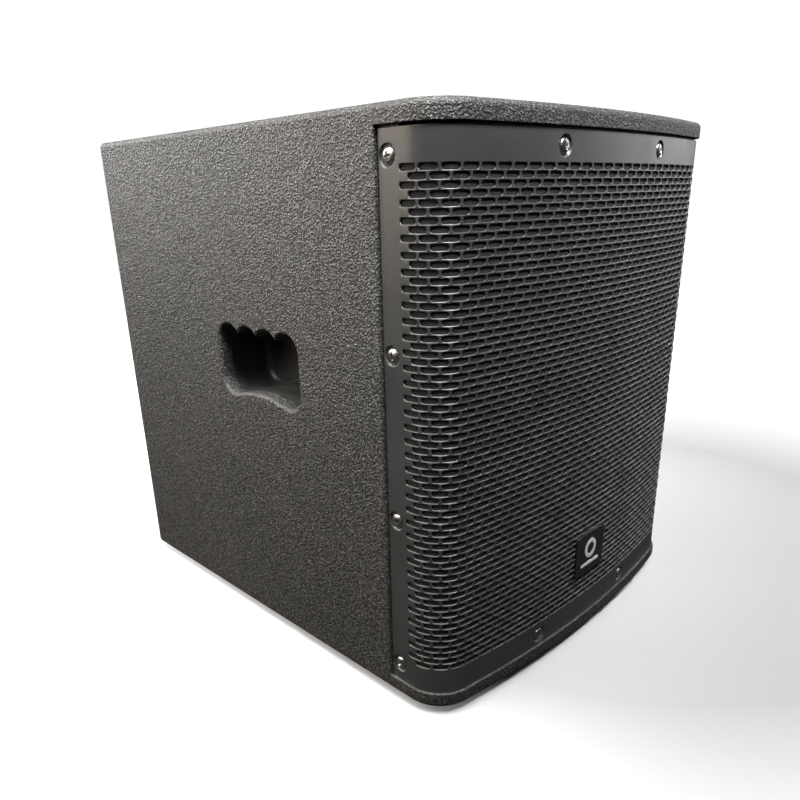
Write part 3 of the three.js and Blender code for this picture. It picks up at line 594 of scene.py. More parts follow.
def refined(node_name, name, finish, edge):
    """A CAD node's own shape with its doubles merged, its flats joined and its edges softened."""
    source = frame["nodes"][node_name].data
    points = [vertex.co / MM for vertex in source.vertices]
    piece = tidied(mesh_object(name, points, [tuple(face.vertices) for face in source.polygons]))
    work = bmesh.new()
    work.from_mesh(piece.data)
    bmesh.ops.dissolve_limit(work, angle_limit=math.radians(0.5), verts=work.verts, edges=work.edges)
    work.to_mesh(piece.data)
    work.free()
    return placed(shaded(softened(piece, edge)), "cabinet", finish, node_name)


# ---- the wooden box ----


ROUND_STEPS = 7
POCKET_LIP = 3.2


def make_box():
    """Four boards as one painted shell with rounded edges, open in front for the grille."""
    rings = []
    for end, way in ((UNDERSIDE, 1), (CEILING, -1)):
        for i in range(ROUND_STEPS + 1)[::way]:
            angle = QUARTER * i / ROUND_STEPS
            inset = EDGE_RADIUS * (1 - math.sin(angle))
            height = end + way * EDGE_RADIUS * (1 - math.cos(angle))
            rings.append([(x, y, height) for x, y in box_line(inset)])
    box = lofted("painted_box", rings)

    inner = HALF_WIDTH - PANEL
    tongue = FLANK_FRONT - TONGUE_LENGTH
    beyond = 400
    hollow = [
        (-inner, beyond), (-inner, tongue), (-TONGUE_X, tongue), (-TONGUE_X, FLANK_FRONT),
        (-beyond, FLANK_FRONT), (-beyond, -beyond), (beyond, -beyond), (beyond, FLANK_FRONT),
        (TONGUE_X, FLANK_FRONT), (TONGUE_X, tongue), (inner, tongue), (inner, beyond),
    ]
    tools = [prism("hollow", hollow, UNDERSIDE + PANEL, CEILING - PANEL)]
    for side in (-1, 1):
        slices = [(HALF_WIDTH + 2, POCKET_LIP)]
        for i in range(ROUND_STEPS + 1):
            angle = QUARTER * i / ROUND_STEPS
            depth = POCKET_LIP * (1 - math.cos(angle))
            slices.append((HALF_WIDTH - depth, POCKET_LIP * (1 - math.sin(angle))))
        slices.append((inner - 6, 0))
        tools.append(lofted("pocket", [[(side * x, y, z) for y, z in grip_line(grow)] for x, grow in slices]))
    for name, radius, depth in (("recess", SOCKET_FLANGE + 0.3, 4), ("hole", SOCKET_BORE + 5, 2 * PANEL)):
        line = disc_line(0, SOCKET_Y, radius, 64)
        tools.append(prism("socket_" + name, line, CEILING - depth, CEILING + OVERCUT))
    carved(box, *tools)
    softened(box, 0.9, 2, 42)
    shaded(box)
    panels = ("top_panel", "bottom_panel", "left_side_panel", "right_side_panel")
    return placed(box, "cabinet", "textured_paint", *panels)


def make_cups():
    """The moulded cups behind the hand pockets, round where the walls meet the back."""
    for name, side in (("left_handle_cup", -1), ("right_handle_cup", 1)):
        face = CUP_HI.x
        floor_x = CUP_LO.x
        wall = 2.5
        round_off = 8
        outer = [(face, 14, 0), (face - 3, 14, 0), (face - 3, 1 + wall, 0)]
        inner = []
        for i in range(7):
            angle = QUARTER * i / 6
            level = round_off * (1 - math.sin(angle))
            drop = round_off * (1 - math.cos(angle))
            outer.append((floor_x + level, 1 + wall, drop))
            inner.append((floor_x + wall + level, 1, drop))
        slices = outer + list(reversed(inner)) + [(face, 1, 0)]
        rings = []
        for x, grow, drop in slices:
            rings.append([(side * x, y, z) for y, z in drawn_in(grip_line(grow), drop)])
        count = len(rings[0])
        points = [point for ring in rings for point in ring]
        faces = []
        middle = len(outer) - 1
        for level in range(len(rings)):
            near, far = level * count, (level + 1) % len(rings) * count
            if level == middle:
                continue
            for i in range(count):
                j = (i + 1) % count
                faces.append((near + i, near + j, far + j, far + i))
        faces.append(tuple(middle * count + i for i in range(count)))
        faces.append(tuple((middle + 1) * count + i for i in reversed(range(count))))
        cup = tidied(mesh_object("pocket_cup_" + name.split("_")[0], points, faces))
        shaded(cup, 50)
        placed(cup, "cabinet", "black_plastic", name)


# ---- the grille ----

SLOT_PITCH = 16.5
ROW_PITCH = 6.0
SLOT_LENGTH = 14.6
SLOT_HEIGHT = 4.7
SLOTS = 29
ROWS = 70
SHEET_EDGE = 0.35
SHEET_REACH = 1.2
SHEET_END_GAP = 1.6
CORNER_STEP = 2.6
SEAT_POINTS = 28
WELD = 0.00002
FLANK_RUN = FLANK_FRONT - CORNER_Y
CORNER_RUN = (CORNER_RADIUS - GRILLE_INSET) * (QUARTER - BOW_ANGLE)
BOW_RUN = (FRONT_RADIUS - GRILLE_INSET) * 2 * BOW_ANGLE
SHEET_RUN = 2 * (FLANK_RUN + CORNER_RUN) + BOW_RUN
PATTERN_START = (SHEET_RUN - SLOTS * SLOT_PITCH) / 2
PATTERN_LOW = GRILLE_MIDDLE + 0.9 - ROWS * ROW_PITCH / 2
PATTERN_HIGH = PATTERN_LOW + ROWS * ROW_PITCH


def obround(half_length, half_height, steps=5):
    """A slot's outline about its middle, anticlockwise."""
    reach = half_length - half_height
    right = arc((reach, 0), half_height, -QUARTER, QUARTER, steps)
    left = arc((-reach, 0), half_height, QUARTER, 3 * QUARTER, steps)
    return right + left


def loop_edges(first, count):
    return [(first + i, first + (i + 1) % count) for i in range(count)]


def filled(points, edges, keep):
    """Triangles between constraint edges whose middle passes the test, as indices into the points."""
    spots, _, faces, origins, _, _ = delaunay_2d_cdt([Vector(p) for p in points], edges, [], 0, 1e-5)
    kept = []
    for face in faces:
        middle = sum((spots[i] for i in face), Vector((0, 0))) / 3
        if keep(middle.x, middle.y):
            kept.append(tuple(origins[i][0] for i in face))
    return kept


def slot_cell():
    """One pitch of the pressed sheet, flat, with its slot; x runs along the sheet and y into it."""
    border = [(0, 0), (SLOT_PITCH / 2, 0), (SLOT_PITCH, 0)]
    border += [(SLOT_PITCH, ROW_PITCH), (SLOT_PITCH / 2, ROW_PITCH), (0, ROW_PITCH)]
    middle = Vector((SLOT_PITCH / 2, ROW_PITCH / 2))

    def hole(grow):
        line = obround(SLOT_LENGTH / 2 + grow, SLOT_HEIGHT / 2 + grow)
        return [(x + middle.x, z + middle.y) for x, z in line]

    wide, narrow = hole(SHEET_EDGE), hole(0)
    count = len(wide)
    inside = SLOT_HEIGHT / 2 + SHEET_EDGE

    def outside_slot(x, z):
        dx = max(abs(x - middle.x) - (SLOT_LENGTH - SLOT_HEIGHT) / 2, 0)
        return math.hypot(dx, z - middle.y) > inside * 0.93

    front = [*border, *wide]
    edges = loop_edges(0, len(border)) + loop_edges(len(border), count)
    faces = filled(front, edges, outside_slot)
    back = [tuple(reversed([i + len(front) for i in face])) for face in faces]
    points = [(x, 0, z) for x, z in front]
    points += [(x, GRILLE_SHEET, z) for x, z in [*border, *narrow]]
    points += [(x, SHEET_EDGE, z) for x, z in narrow]
    first_wide = len(border)
    first_back = len(front) + len(border)
    first_mid = 2 * len(front)
    walls = []
    for i in range(count):
        j = (i + 1) % count
        walls.append((first_wide + i, first_wide + j, first_mid + j, first_mid + i))
        walls.append((first_mid + i, first_mid + j, first_back + j, first_back + i))
    return mesh_object("slot_cell", points, faces + back + walls)


def seat_spots():
    """The dished seats on the flat sheet, and how each screw stands on the bent one."""
    spots = []
    flank_x = HALF_WIDTH - GRILLE_INSET
    for side in (-1, 1):
        for row in SCREW_ROWS:
            run = SCREW_SETBACK if side < 0 else SHEET_RUN - SCREW_SETBACK
            place = Vector((side * flank_x, FLANK_FRONT - SCREW_SETBACK, GRILLE_MIDDLE + row))
            spots.append((run, GRILLE_MIDDLE + row, place, Vector((side, 0, 0))))
    radius = FRONT_RADIUS - GRILLE_INSET
    for rise in (-1, 1):
        for side in (-1, 1):
            angle = math.asin(side * SCREW_SPREAD / radius)
            outward = Vector((math.sin(angle), -math.cos(angle), 0))
            level = GRILLE_MIDDLE + rise * SCREW_END_ROW
            place = outward * radius + Vector((0, BOW_Y, level))
            spots.append((SHEET_RUN / 2 + radius * angle, level, place, outward))
    return spots


SEATS = seat_spots()
SEAT_RINGS = (8.75, 8.4, 7.9, 7.3, 6.8, 6.4, 5.0)


def seat_depth(x, z):
    """How deep the sheet is pressed at a place on it."""
    for run, level, _, _ in SEATS:
        gap = math.hypot(x - run, z - level)
        if gap < SEAT_RINGS[0]:
            share = min(max((SEAT_RINGS[0] - gap) / (SEAT_RINGS[0] - SEAT_RINGS[-2]), 0), 1)
            return SEAT_DEPTH * share * share * (3 - 2 * share)
    return 0


def sheet_margin():
    """The plain border of the pressed sheet, flat, with its dished seats."""
    start, end = SHEET_END_GAP, SHEET_RUN - SHEET_END_GAP
    low, high = GRILLE_LO.z - SHEET_REACH, GRILLE_HI.z + SHEET_REACH
    bend_from, bend_to = FLANK_RUN, FLANK_RUN + CORNER_RUN
    half = SLOT_PITCH / 2

    def stations(left, right):
        """Places along the sheet, closer together round the two corners."""
        runs, x = [left], left
        while x < right:
            folded = min(x, SHEET_RUN - x)
            x += CORNER_STEP if bend_from - 4 < folded < bend_to + 4 else half
            runs.append(min(x, right))
        if runs[-1] - runs[-2] < 1:
            runs.pop(-2)
        return runs

    along = stations(start + SHEET_EDGE, end - SHEET_EDGE)
    rises = [low + SHEET_EDGE + (high - low - 2 * SHEET_EDGE) * i / 30 for i in range(31)]
    rim = [(x, rises[0]) for x in along]
    rim += [(along[-1], z) for z in rises[1:-1]]
    rim += [(x, rises[-1]) for x in reversed(along)]
    rim += [(along[0], z) for z in reversed(rises[1:-1])]
    points = list(rim)
    edges = loop_edges(0, len(rim))

    columns = [PATTERN_START + half * i for i in range(2 * SLOTS + 1)]
    comb = [(x, PATTERN_LOW) for x in columns[1:-1]]
    for row in range(ROWS):
        x = columns[-1] if row % 2 else columns[-2]
        z = PATTERN_LOW + row * ROW_PITCH
        comb += [(x, z), (x, z + ROW_PITCH)]
    comb += [(x, PATTERN_HIGH) for x in reversed(columns)]
    for row in reversed(range(ROWS)):
        x = columns[0] if row % 2 else columns[1]
        z = PATTERN_LOW + row * ROW_PITCH
        comb += [(x, z + ROW_PITCH), (x, z)]
    lone = []
    for spot in comb:
        if not lone or math.dist(lone[-1], spot) > 1e-3:
            lone.append(spot)
    while math.dist(lone[0], lone[-1]) < 1e-3:
        lone.pop()
    edges += loop_edges(len(points), len(lone))
    points += lone

    for run, level, _, _ in SEATS:
        for radius in SEAT_RINGS:
            edges += loop_edges(len(points), SEAT_POINTS)
            points += disc_line(run, level, radius, SEAT_POINTS)
        points.append((run, level))

    def near_seat(x, z):
        return any(math.dist((x, z), seat[:2]) < SEAT_RINGS[0] + 1.5 for seat in SEATS)

    for level in (PATTERN_HIGH + 8, PATTERN_HIGH + 15, PATTERN_LOW - 8, PATTERN_LOW - 15):
        points += [(x, level) for x in stations(start + 6, end - 6) if not near_seat(x, level)]

    def outside_pattern(x, z):
        if not PATTERN_LOW < z < PATTERN_HIGH:
            return True
        short = 0 if int((z - PATTERN_LOW) / ROW_PITCH) % 2 else half
        return not PATTERN_START + short < x < PATTERN_START + SLOTS * SLOT_PITCH - short

    faces = filled(points, edges, outside_pattern)
    total = len(points)

    def pushed(index, x, z):
        """Rim points stand out by the width of the edge's bevel."""
        if index >= len(rim):
            return x, z
        side = -1 if x == along[0] else 1 if x == along[-1] else 0
        rise = -1 if z == rises[0] else 1 if z == rises[-1] else 0
        return x + side * SHEET_EDGE, z + rise * SHEET_EDGE

    solid = [(x, seat_depth(x, z), z) for x, z in points]
    for i, (x, z) in enumerate(points):
        wide_x, wide_z = pushed(i, x, z)
        solid.append((wide_x, seat_depth(x, z) + GRILLE_SHEET, wide_z))
    for i, (x, z) in enumerate(rim):
        wide_x, wide_z = pushed(i, x, z)
        solid.append((wide_x, SHEET_EDGE, wide_z))
    back = [tuple(reversed([i + total for i in face])) for face in faces]
    walls = []
    for i in range(len(rim)):
        j = (i + 1) % len(rim)
        walls.append((j, i, 2 * total + i, 2 * total + j))
        walls.append((2 * total + j, 2 * total + i, total + i, total + j))
    used = sorted({i for face in faces + back + walls for i in face})
    fresh = {old: new for new, old in enumerate(used)}
    renumbered = [tuple(fresh[i] for i in face) for face in faces + back + walls]
    return mesh_object("sheet_margin", [solid[i] for i in used], renumbered)


def geometry_tree(name, **inputs):
    """A Geometry Nodes tree with inputs by kind after its geometry, and the inputs' identifiers."""
    tree = bpy.data.node_groups.new(name, "GeometryNodeTree")
    for way in ("INPUT", "OUTPUT"):
        tree.interface.new_socket("Geometry", in_out=way, socket_type="NodeSocketGeometry")
    keys = {}
    for kind, labels in inputs.items():
        for label in labels:
            made = tree.interface.new_socket(label, in_out="INPUT", socket_type="NodeSocket" + kind)
            keys[label] = made.identifier
    return tree, tree.nodes.new("NodeGroupInput").outputs, tree.nodes.new("NodeGroupOutput"), keys


def finish_tree(tree, result, geometry, paint):
    """Ends a tree with real geometry under one paint."""
    real = node(tree, "GeometryNodeRealizeInstances", {0: geometry}).outputs[0]
    coated = node(tree, "GeometryNodeSetMaterial", {"Geometry": real, "Material": paint}).outputs[0]
    tree.links.new(coated, result.inputs[0])


def at_points(tree, points, source, rotation):
    """An object's shape on every point, turned."""
    shape = node(tree, "GeometryNodeObjectInfo", {"Object": source}).outputs["Geometry"]
    inputs = {"Points": points, "Instance": shape, "Rotation": rotation}
    return node(tree, "GeometryNodeInstanceOnPoints", inputs).outputs[0]


def spots_with(name, label, spots):
    """Bare points in millimetres that carry a vector each."""
    base = mesh_object(name + "_spots", [place for place, _ in spots], [])
    ways = base.data.attributes.new(label, "FLOAT_VECTOR", "POINT")
    for i, (_, way) in enumerate(spots):
        ways.data[i].vector = way
    return base


def grown(name, base, tree, keys, values):
    """The result of a tree on a base object, as a plain piece."""
    modifier = base.modifiers.new(name, "NODES")
    modifier.node_group = tree
    for label, value in values.items():
        modifier[keys[label]] = value
    graph = bpy.context.evaluated_depsgraph_get()
    graph.update()
    mesh = bpy.data.meshes.new_from_object(base.evaluated_get(graph), depsgraph=graph)
    mesh.name = name
    made = bpy.data.objects.new(name, mesh)
    bpy.context.scene.collection.objects.link(made)
    base.modifiers.clear()
    discard(base)
    return made


def sheet_tree():
    """Rows of slot cells between plain margins, merged and bent along the path that the object gives."""
    tree, given, result, keys = geometry_tree(
        "bent_slotted_sheet",
        Object=("Slot Cell", "Margin"),
        Int=("Slots", "Rows"),
        Float=("Slot Pitch", "Row Pitch", "First Slot", "First Row", "Weld"),
        Material=("Paint",),
    )
    index = node(tree, "GeometryNodeInputIndex").outputs[0]
    row = maths(tree, "FLOOR", maths(tree, "DIVIDE", maths(tree, "ADD", index, 0.5), given["Slots"]))
    column = maths(tree, "SUBTRACT", index, maths(tree, "MULTIPLY", row, given["Slots"]))
    even = maths(tree, "LESS_THAN", maths(tree, "MODULO", row, 2.0), 0.5)
    shifted = maths(tree, "ADD", column, maths(tree, "MULTIPLY", even, 0.5))
    x = maths(tree, "ADD", given["First Slot"], maths(tree, "MULTIPLY", shifted, given["Slot Pitch"]))
    z = maths(tree, "ADD", given["First Row"], maths(tree, "MULTIPLY", row, given["Row Pitch"]))
    spot = node(tree, "ShaderNodeCombineXYZ", {"X": x, "Z": z}).outputs[0]
    count = maths(tree, "MULTIPLY", given["Slots"], given["Rows"])
    points = node(tree, "GeometryNodePoints", {"Count": count, "Position": spot}).outputs[0]
    last = maths(tree, "GREATER_THAN", column, maths(tree, "SUBTRACT", given["Slots"], 1.5))
    spare = node(tree, "FunctionNodeBooleanMath", {0: even, 1: last}, operation="AND").outputs[0]
    kept = node(tree, "GeometryNodeDeleteGeometry", {"Geometry": points, "Selection": spare}, domain="POINT")
    cell = node(tree, "GeometryNodeObjectInfo", {"Object": given["Slot Cell"]}).outputs["Geometry"]
    cells = node(tree, "GeometryNodeInstanceOnPoints", {"Points": kept.outputs[0], "Instance": cell})
    margin = node(tree, "GeometryNodeObjectInfo", {"Object": given["Margin"]}).outputs["Geometry"]
    whole = node(tree, "GeometryNodeJoinGeometry")
    tree.links.new(cells.outputs[0], whole.inputs[0])
    tree.links.new(margin, whole.inputs[0])
    real = node(tree, "GeometryNodeRealizeInstances", {0: whole.outputs[0]}).outputs[0]
    welds = {"Geometry": real, "Distance": given["Weld"]}
    welded = node(tree, "GeometryNodeMergeByDistance", welds).outputs[0]

    path = node(tree, "GeometryNodeMeshToCurve", {"Mesh": given["Geometry"]}).outputs[0]
    here = node(tree, "GeometryNodeInputPosition").outputs[0]
    parts = node(tree, "ShaderNodeSeparateXYZ", {0: here}).outputs
    sample = node(tree, "GeometryNodeSampleCurve", {"Curves": path, "Length": parts["X"]}, mode="LENGTH")
    inward = vector_maths(tree, "CROSS_PRODUCT", {0: (0, 0, 1), 1: sample.outputs["Tangent"]})[0]
    sunk = vector_maths(tree, "SCALE", {0: inward, "Scale": parts["Y"]})[0]
    raised = node(tree, "ShaderNodeCombineXYZ", {"Z": parts["Z"]}).outputs[0]
    lifted = vector_maths(tree, "ADD", {0: sunk, 1: raised})[0]
    goal = vector_maths(tree, "ADD", {0: sample.outputs["Position"], 1: lifted})[0]
    bent = node(tree, "GeometryNodeSetPosition", {"Geometry": welded, "Position": goal}).outputs[0]
    finish_tree(tree, result, bent, given["Paint"])
    return tree, keys


def make_grille():
    """The pressed sheet, grown from one cell and a margin and bent along the front."""
    line = front_line(GRILLE_INSET, 160, 60)
    flank = HALF_WIDTH - GRILLE_INSET
    path = [(-flank, FLANK_FRONT, 0)] + [(x, y, 0) for x, y in line] + [(flank, FLANK_FRONT, 0)]
    base = mesh_object("grille_path", path, [])
    base.data.clear_geometry()
    base.data.from_pydata([Vector(p) * MM for p in path], [(i, i + 1) for i in range(len(path) - 1)], [])
    cell, margin = slot_cell(), sheet_margin()
    tree, keys = sheet_tree()
    values = {
        "Slot Cell": cell,
        "Margin": margin,
        "Slots": SLOTS,
        "Rows": ROWS,
        "Slot Pitch": SLOT_PITCH * MM,
        "Row Pitch": ROW_PITCH * MM,
        "First Slot": PATTERN_START * MM,
        "First Row": PATTERN_LOW * MM,
        "Weld": WELD,
        "Paint": FINISHES["grille_paint"],
    }
    grille = grown("slotted_grille", base, tree, keys, values)
    discard(cell, margin)
    shaded(grille, 60)
    return placed(grille, "cabinet", "grille_paint", "grille")


# ---- screws ----


def screw_head(name, radius, height, shank, length):
    """A domed head with a cross recess, standing along Z, its seat at 0."""
    profile = [(0, -length), (shank * 0.4, -length), (shank, -length + 2), (shank, 0), (radius, 0)]
    for i in range(7):
        angle = QUARTER * i / 6
        profile.append((radius * math.cos(angle * 0.9), height * (0.28 + 0.72 * math.sin(angle))))
    profile.append((0, height))
    head = turned(name, profile, 28, (0, 0, 0), "z")
    width, reach = radius * 0.17, radius * 0.58

    def arm_end(turn_to, half_length, half_width, level):
        corners = [(side * half_length, -half_width) for side in (-1, 1)]
        corners += [(side * half_length, half_width) for side in (1, -1)]
        return [(*(turn_to @ Vector(corner)), level) for corner in corners]

    arms = []
    for angle in (0, QUARTER):
        turn_to = Matrix.Rotation(angle, 2)
        floor = arm_end(turn_to, reach * 0.5, width * 0.7, height * 0.15)
        arms.append(lofted("arm", [floor, arm_end(turn_to, reach, width, height * 1.1)]))
    carved(head, *arms)
    return shaded(head, 35)


def screws_tree():
    """A screw on every point, along the point's own direction, each turned by chance about its axis."""
    inputs = {"Object": ("Screw",), "Int": ("Seed",), "Material": ("Steel",)}
    tree, given, result, keys = geometry_tree("placed_screws", **inputs)
    outward = node(tree, "GeometryNodeInputNamedAttribute", {"Name": "outward"}, data_type="FLOAT_VECTOR")
    aligned = node(tree, "FunctionNodeAlignRotationToVector", {"Vector": outward.outputs[0]}, axis="Z")
    spin = node(tree, "FunctionNodeRandomValue", {"Seed": given["Seed"]}, data_type="FLOAT")
    spin.inputs[2].default_value = 0.0
    spin.inputs[3].default_value = QUARTER
    about = node(tree, "FunctionNodeAxisAngleToRotation", {"Axis": (0, 0, 1), "Angle": spin.outputs[1]})
    both = {"Rotation": aligned.outputs[0], "Rotate By": about.outputs[0]}
    turned_by = node(tree, "FunctionNodeRotateRotation", both, rotation_space="LOCAL").outputs[0]
    screws = at_points(tree, given["Geometry"], given["Screw"], turned_by)
    finish_tree(tree, result, screws, given["Steel"])
    return tree, keys


SCREW_TREE, SCREW_KEYS = screws_tree()


def make_screws(name, spots, head, finish, seed, *stands_for):
    """Screws at (place, outward) spots in millimetres, as one piece."""
    values = {"Screw": head, "Seed": seed, "Steel": FINISHES[finish]}
    made = grown(name, spots_with(name, "outward", spots), SCREW_TREE, SCREW_KEYS, values)
    discard(head)
    return placed(made, "cabinet", finish, *stands_for)


def make_grille_screws():
    head = screw_head("grille_screw", 6, 2.9, 2.2, 12)
    spots = [(place - outward * (SEAT_DEPTH - 0.1), outward) for _, _, place, outward in SEATS]
    nodes = [name for name in frame["nodes"] if name.startswith("grille_screw_")]
    make_screws("grille_screws", spots, head, "screw_steel", 7, *nodes)


# ---- pieces shared by several makers ----


def rounded_rectangle(x0, x1, z0, z1, radius, steps=6):
    """A rectangle's outline with round corners, anticlockwise from the upper right."""
    line = []
    spots = ((x1, z1, -1, -1), (x0, z1, 1, -1), (x0, z0, 1, 1), (x1, z0, -1, 1))
    for turn_number, (x, z, in_x, in_z) in enumerate(spots):
        start = turn_number * QUARTER
        line += arc((x + in_x * radius, z + in_z * radius), radius, start, start + QUARTER, steps)
    return line


def about(x, z, half_width, half_height):
    """The x0, x1, z0, z1 of a box about its middle."""
    return x - half_width, x + half_width, z - half_height, z + half_height


def slab(name, box, low, high, radius=2.0, edge=0.4, cuts=()):
    """A plate lying across Y with round corners, openings and softened edges; box is x0, x1, z0, z1."""
    plate = prism(name, rounded_rectangle(*box, radius), low, high, "y")
    if cuts:
        carved(plate, *[prism("opening", line, low - OVERCUT, high + OVERCUT, "y") for line in cuts])
    if edge:
        softened(plate, edge)
    return shaded(plate)


def together(name, *objects):
    """Several closed shapes as one piece."""
    work = bmesh.new()
    for one in objects:
        work.from_mesh(one.data)
    mesh = bpy.data.meshes.new(name)
    work.to_mesh(mesh)
    work.free()
    discard(*objects)
    made = bpy.data.objects.new(name, mesh)
    bpy.context.scene.collection.objects.link(made)
    return made


def copies_tree():
    """A shape on every point, turned by the point's own angles."""
    inputs = {"Object": ("Shape",), "Material": ("Finish",)}
    tree, given, result, keys = geometry_tree("placed_copies", **inputs)
    angles = node(tree, "GeometryNodeInputNamedAttribute", {"Name": "angles"}, data_type="FLOAT_VECTOR")
    turns = node(tree, "FunctionNodeEulerToRotation", {0: angles.outputs[0]})
    copies = at_points(tree, given["Geometry"], given["Shape"], turns.outputs[0])
    finish_tree(tree, result, copies, given["Finish"])
    return tree, keys


COPIES_TREE, COPIES_KEYS = copies_tree()


def copied(name, shape, spots, finish):
    """The shape on every (place, angles) spot, as one piece; the shape itself goes away."""
    values = {"Shape": shape, "Finish": FINISHES[finish]}
    made = grown(name, spots_with(name, "angles", spots), COPIES_TREE, COPIES_KEYS, values)
    discard(shape)
    return made


# ---- badge, foam, feet and pole socket ----


def make_badge():
    low, high = [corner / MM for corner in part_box("badge")]
    plate = slab("badge_plate", (low.x, high.x, low.z, high.z), low.y, high.y, 3.5, 0.5)
    placed(plate, "cabinet", "badge_plastic", "badge")
    middle = low.z + 26.5
    ring_profile = [(6.2, -0.1), (10.6, -0.1), (10.6, 0.15), (10.1, 0.32), (6.7, 0.32), (6.2, 0.15)]
    ring = turned("ring", [(r, -y) for r, y in ring_profile], 64, (0, low.y, middle), "y")
    bar = slab("bar", (-17, 17, low.z + 8.5, low.z + 12), low.y - 0.32, low.y + 0.1, 1.6, 0.15)
    emblem = together("badge_emblem", ring, bar)
    placed(shaded(emblem), "cabinet", "bright_metal")


def make_foam():
    outer, inner = GRILLE_INSET + GRILLE_SHEET + 0.3, GRILLE_INSET + GRILLE_SHEET + 5.3
    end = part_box("grille_foam")[1].y / MM
    line = [(-HALF_WIDTH + outer, end), *front_line(outer), (HALF_WIDTH - outer, end)]
    line += reversed([(-HALF_WIDTH + inner, end), *front_line(inner), (HALF_WIDTH - inner, end)])
    low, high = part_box("grille_foam")
    foam = prism("grille_foam_sheet", line, low.z / MM, high.z / MM)
    placed(shaded(foam), "cabinet", "acoustic_foam", "grille_foam")


def make_feet():
    names = ("foot_front_left", "foot_front_right", "foot_rear_left", "foot_rear_right")
    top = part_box(names[0])[1].z / MM
    profile = [(5.5, 0.6), (6.2, 0), (15.8, 0), (16.6, 0.35), (17.1, 1.1), (18.7, top - 0.6), (18.4, top)]
    profile += [(3, top), (3, 3), (5.5, 3)]
    foot = shaded(turned("foot", profile, 48, (0, 0, 0), "z"))
    spots = []
    for name in names:
        low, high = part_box(name)
        spots.append((((low.x + high.x) / 2 / MM, (low.y + high.y) / 2 / MM, 0), (0, 0, 0)))
    placed(copied("rubber_feet", foot, spots, "black_rubber"), "cabinet", "black_rubber", *names)
    head = screw_head("foot_screw", 4.6, 2.0, 1.9, 3)
    make_screws("foot_screws", [((x, y, 3.1), DOWN) for (x, y, _), _ in spots], head, "screw_steel", 3)


def make_pole_socket():
    low, high = [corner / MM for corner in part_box("pole_socket")]
    top = high.z
    bore, flange = SOCKET_BORE, SOCKET_FLANGE
    profile = [
        (0, low.z), (bore + 4, low.z), (bore + 4, top - 3.4), (flange, top - 3.4), (flange, top - 1.3),
        (flange - 0.5, top - 0.5), (flange - 1.5, top), (bore + 2.2, top), (bore + 0.7, top - 0.6),
        (bore, top - 2.2), (bore, low.z + 4), (0, low.z + 4),
    ]
    socket = turned("pole_socket_tube", profile, 72, (0, SOCKET_Y, 0), "z")
    seat = top - 2.2
    reach = (bore + flange) / 2 + 1.5
    centres = arc((0, SOCKET_Y), reach, TURN / 8, TURN * 9 / 8, 4, False)
    carved(socket, *[prism("seat", disc_line(x, y, 4.9, 32), seat, top + 5) for x, y in centres])
    placed(shaded(socket, 50), "cabinet", "black_metal", "pole_socket")
    head = screw_head("socket_screw", 4.2, 1.4, 1.9, 10)
    make_screws("pole_socket_screws", [((x, y, seat), UP) for x, y in centres], head, "screw_steel", 5)


# ---- driver ----


def on_driver(name, profile, steps=72):
    """A profile turned about the driver's axis, heights measured back from the baffle's front."""
    return turned(name, profile, steps, (0, BAFFLE_FRONT, DRIVER_Z), "y")


def wheel(name, profile, finish, node_name, body="cabinet", steps=72, limit=40):
    return placed(shaded(on_driver(name, profile, steps), limit), body, finish, node_name)


def bent_between(name, profile, finish, node_name):
    """A soft ring that runs from the frame at one edge to the cone at the other; here it is only painted and
    left in place.
    """

    def axis(y):
        return 0, (BAFFLE_FRONT + y) * MM, DRIVER_Z * MM

    piece = painted(shaded(on_driver(name, profile, 96), 60), finish)
    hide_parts(node_name)
    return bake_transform(piece)


def walled(line, thickness):
    """A closed profile from a line of (radius, height) by giving it a wall behind."""
    return [*line, *[(radius, height + thickness) for radius, height in reversed(line)]]


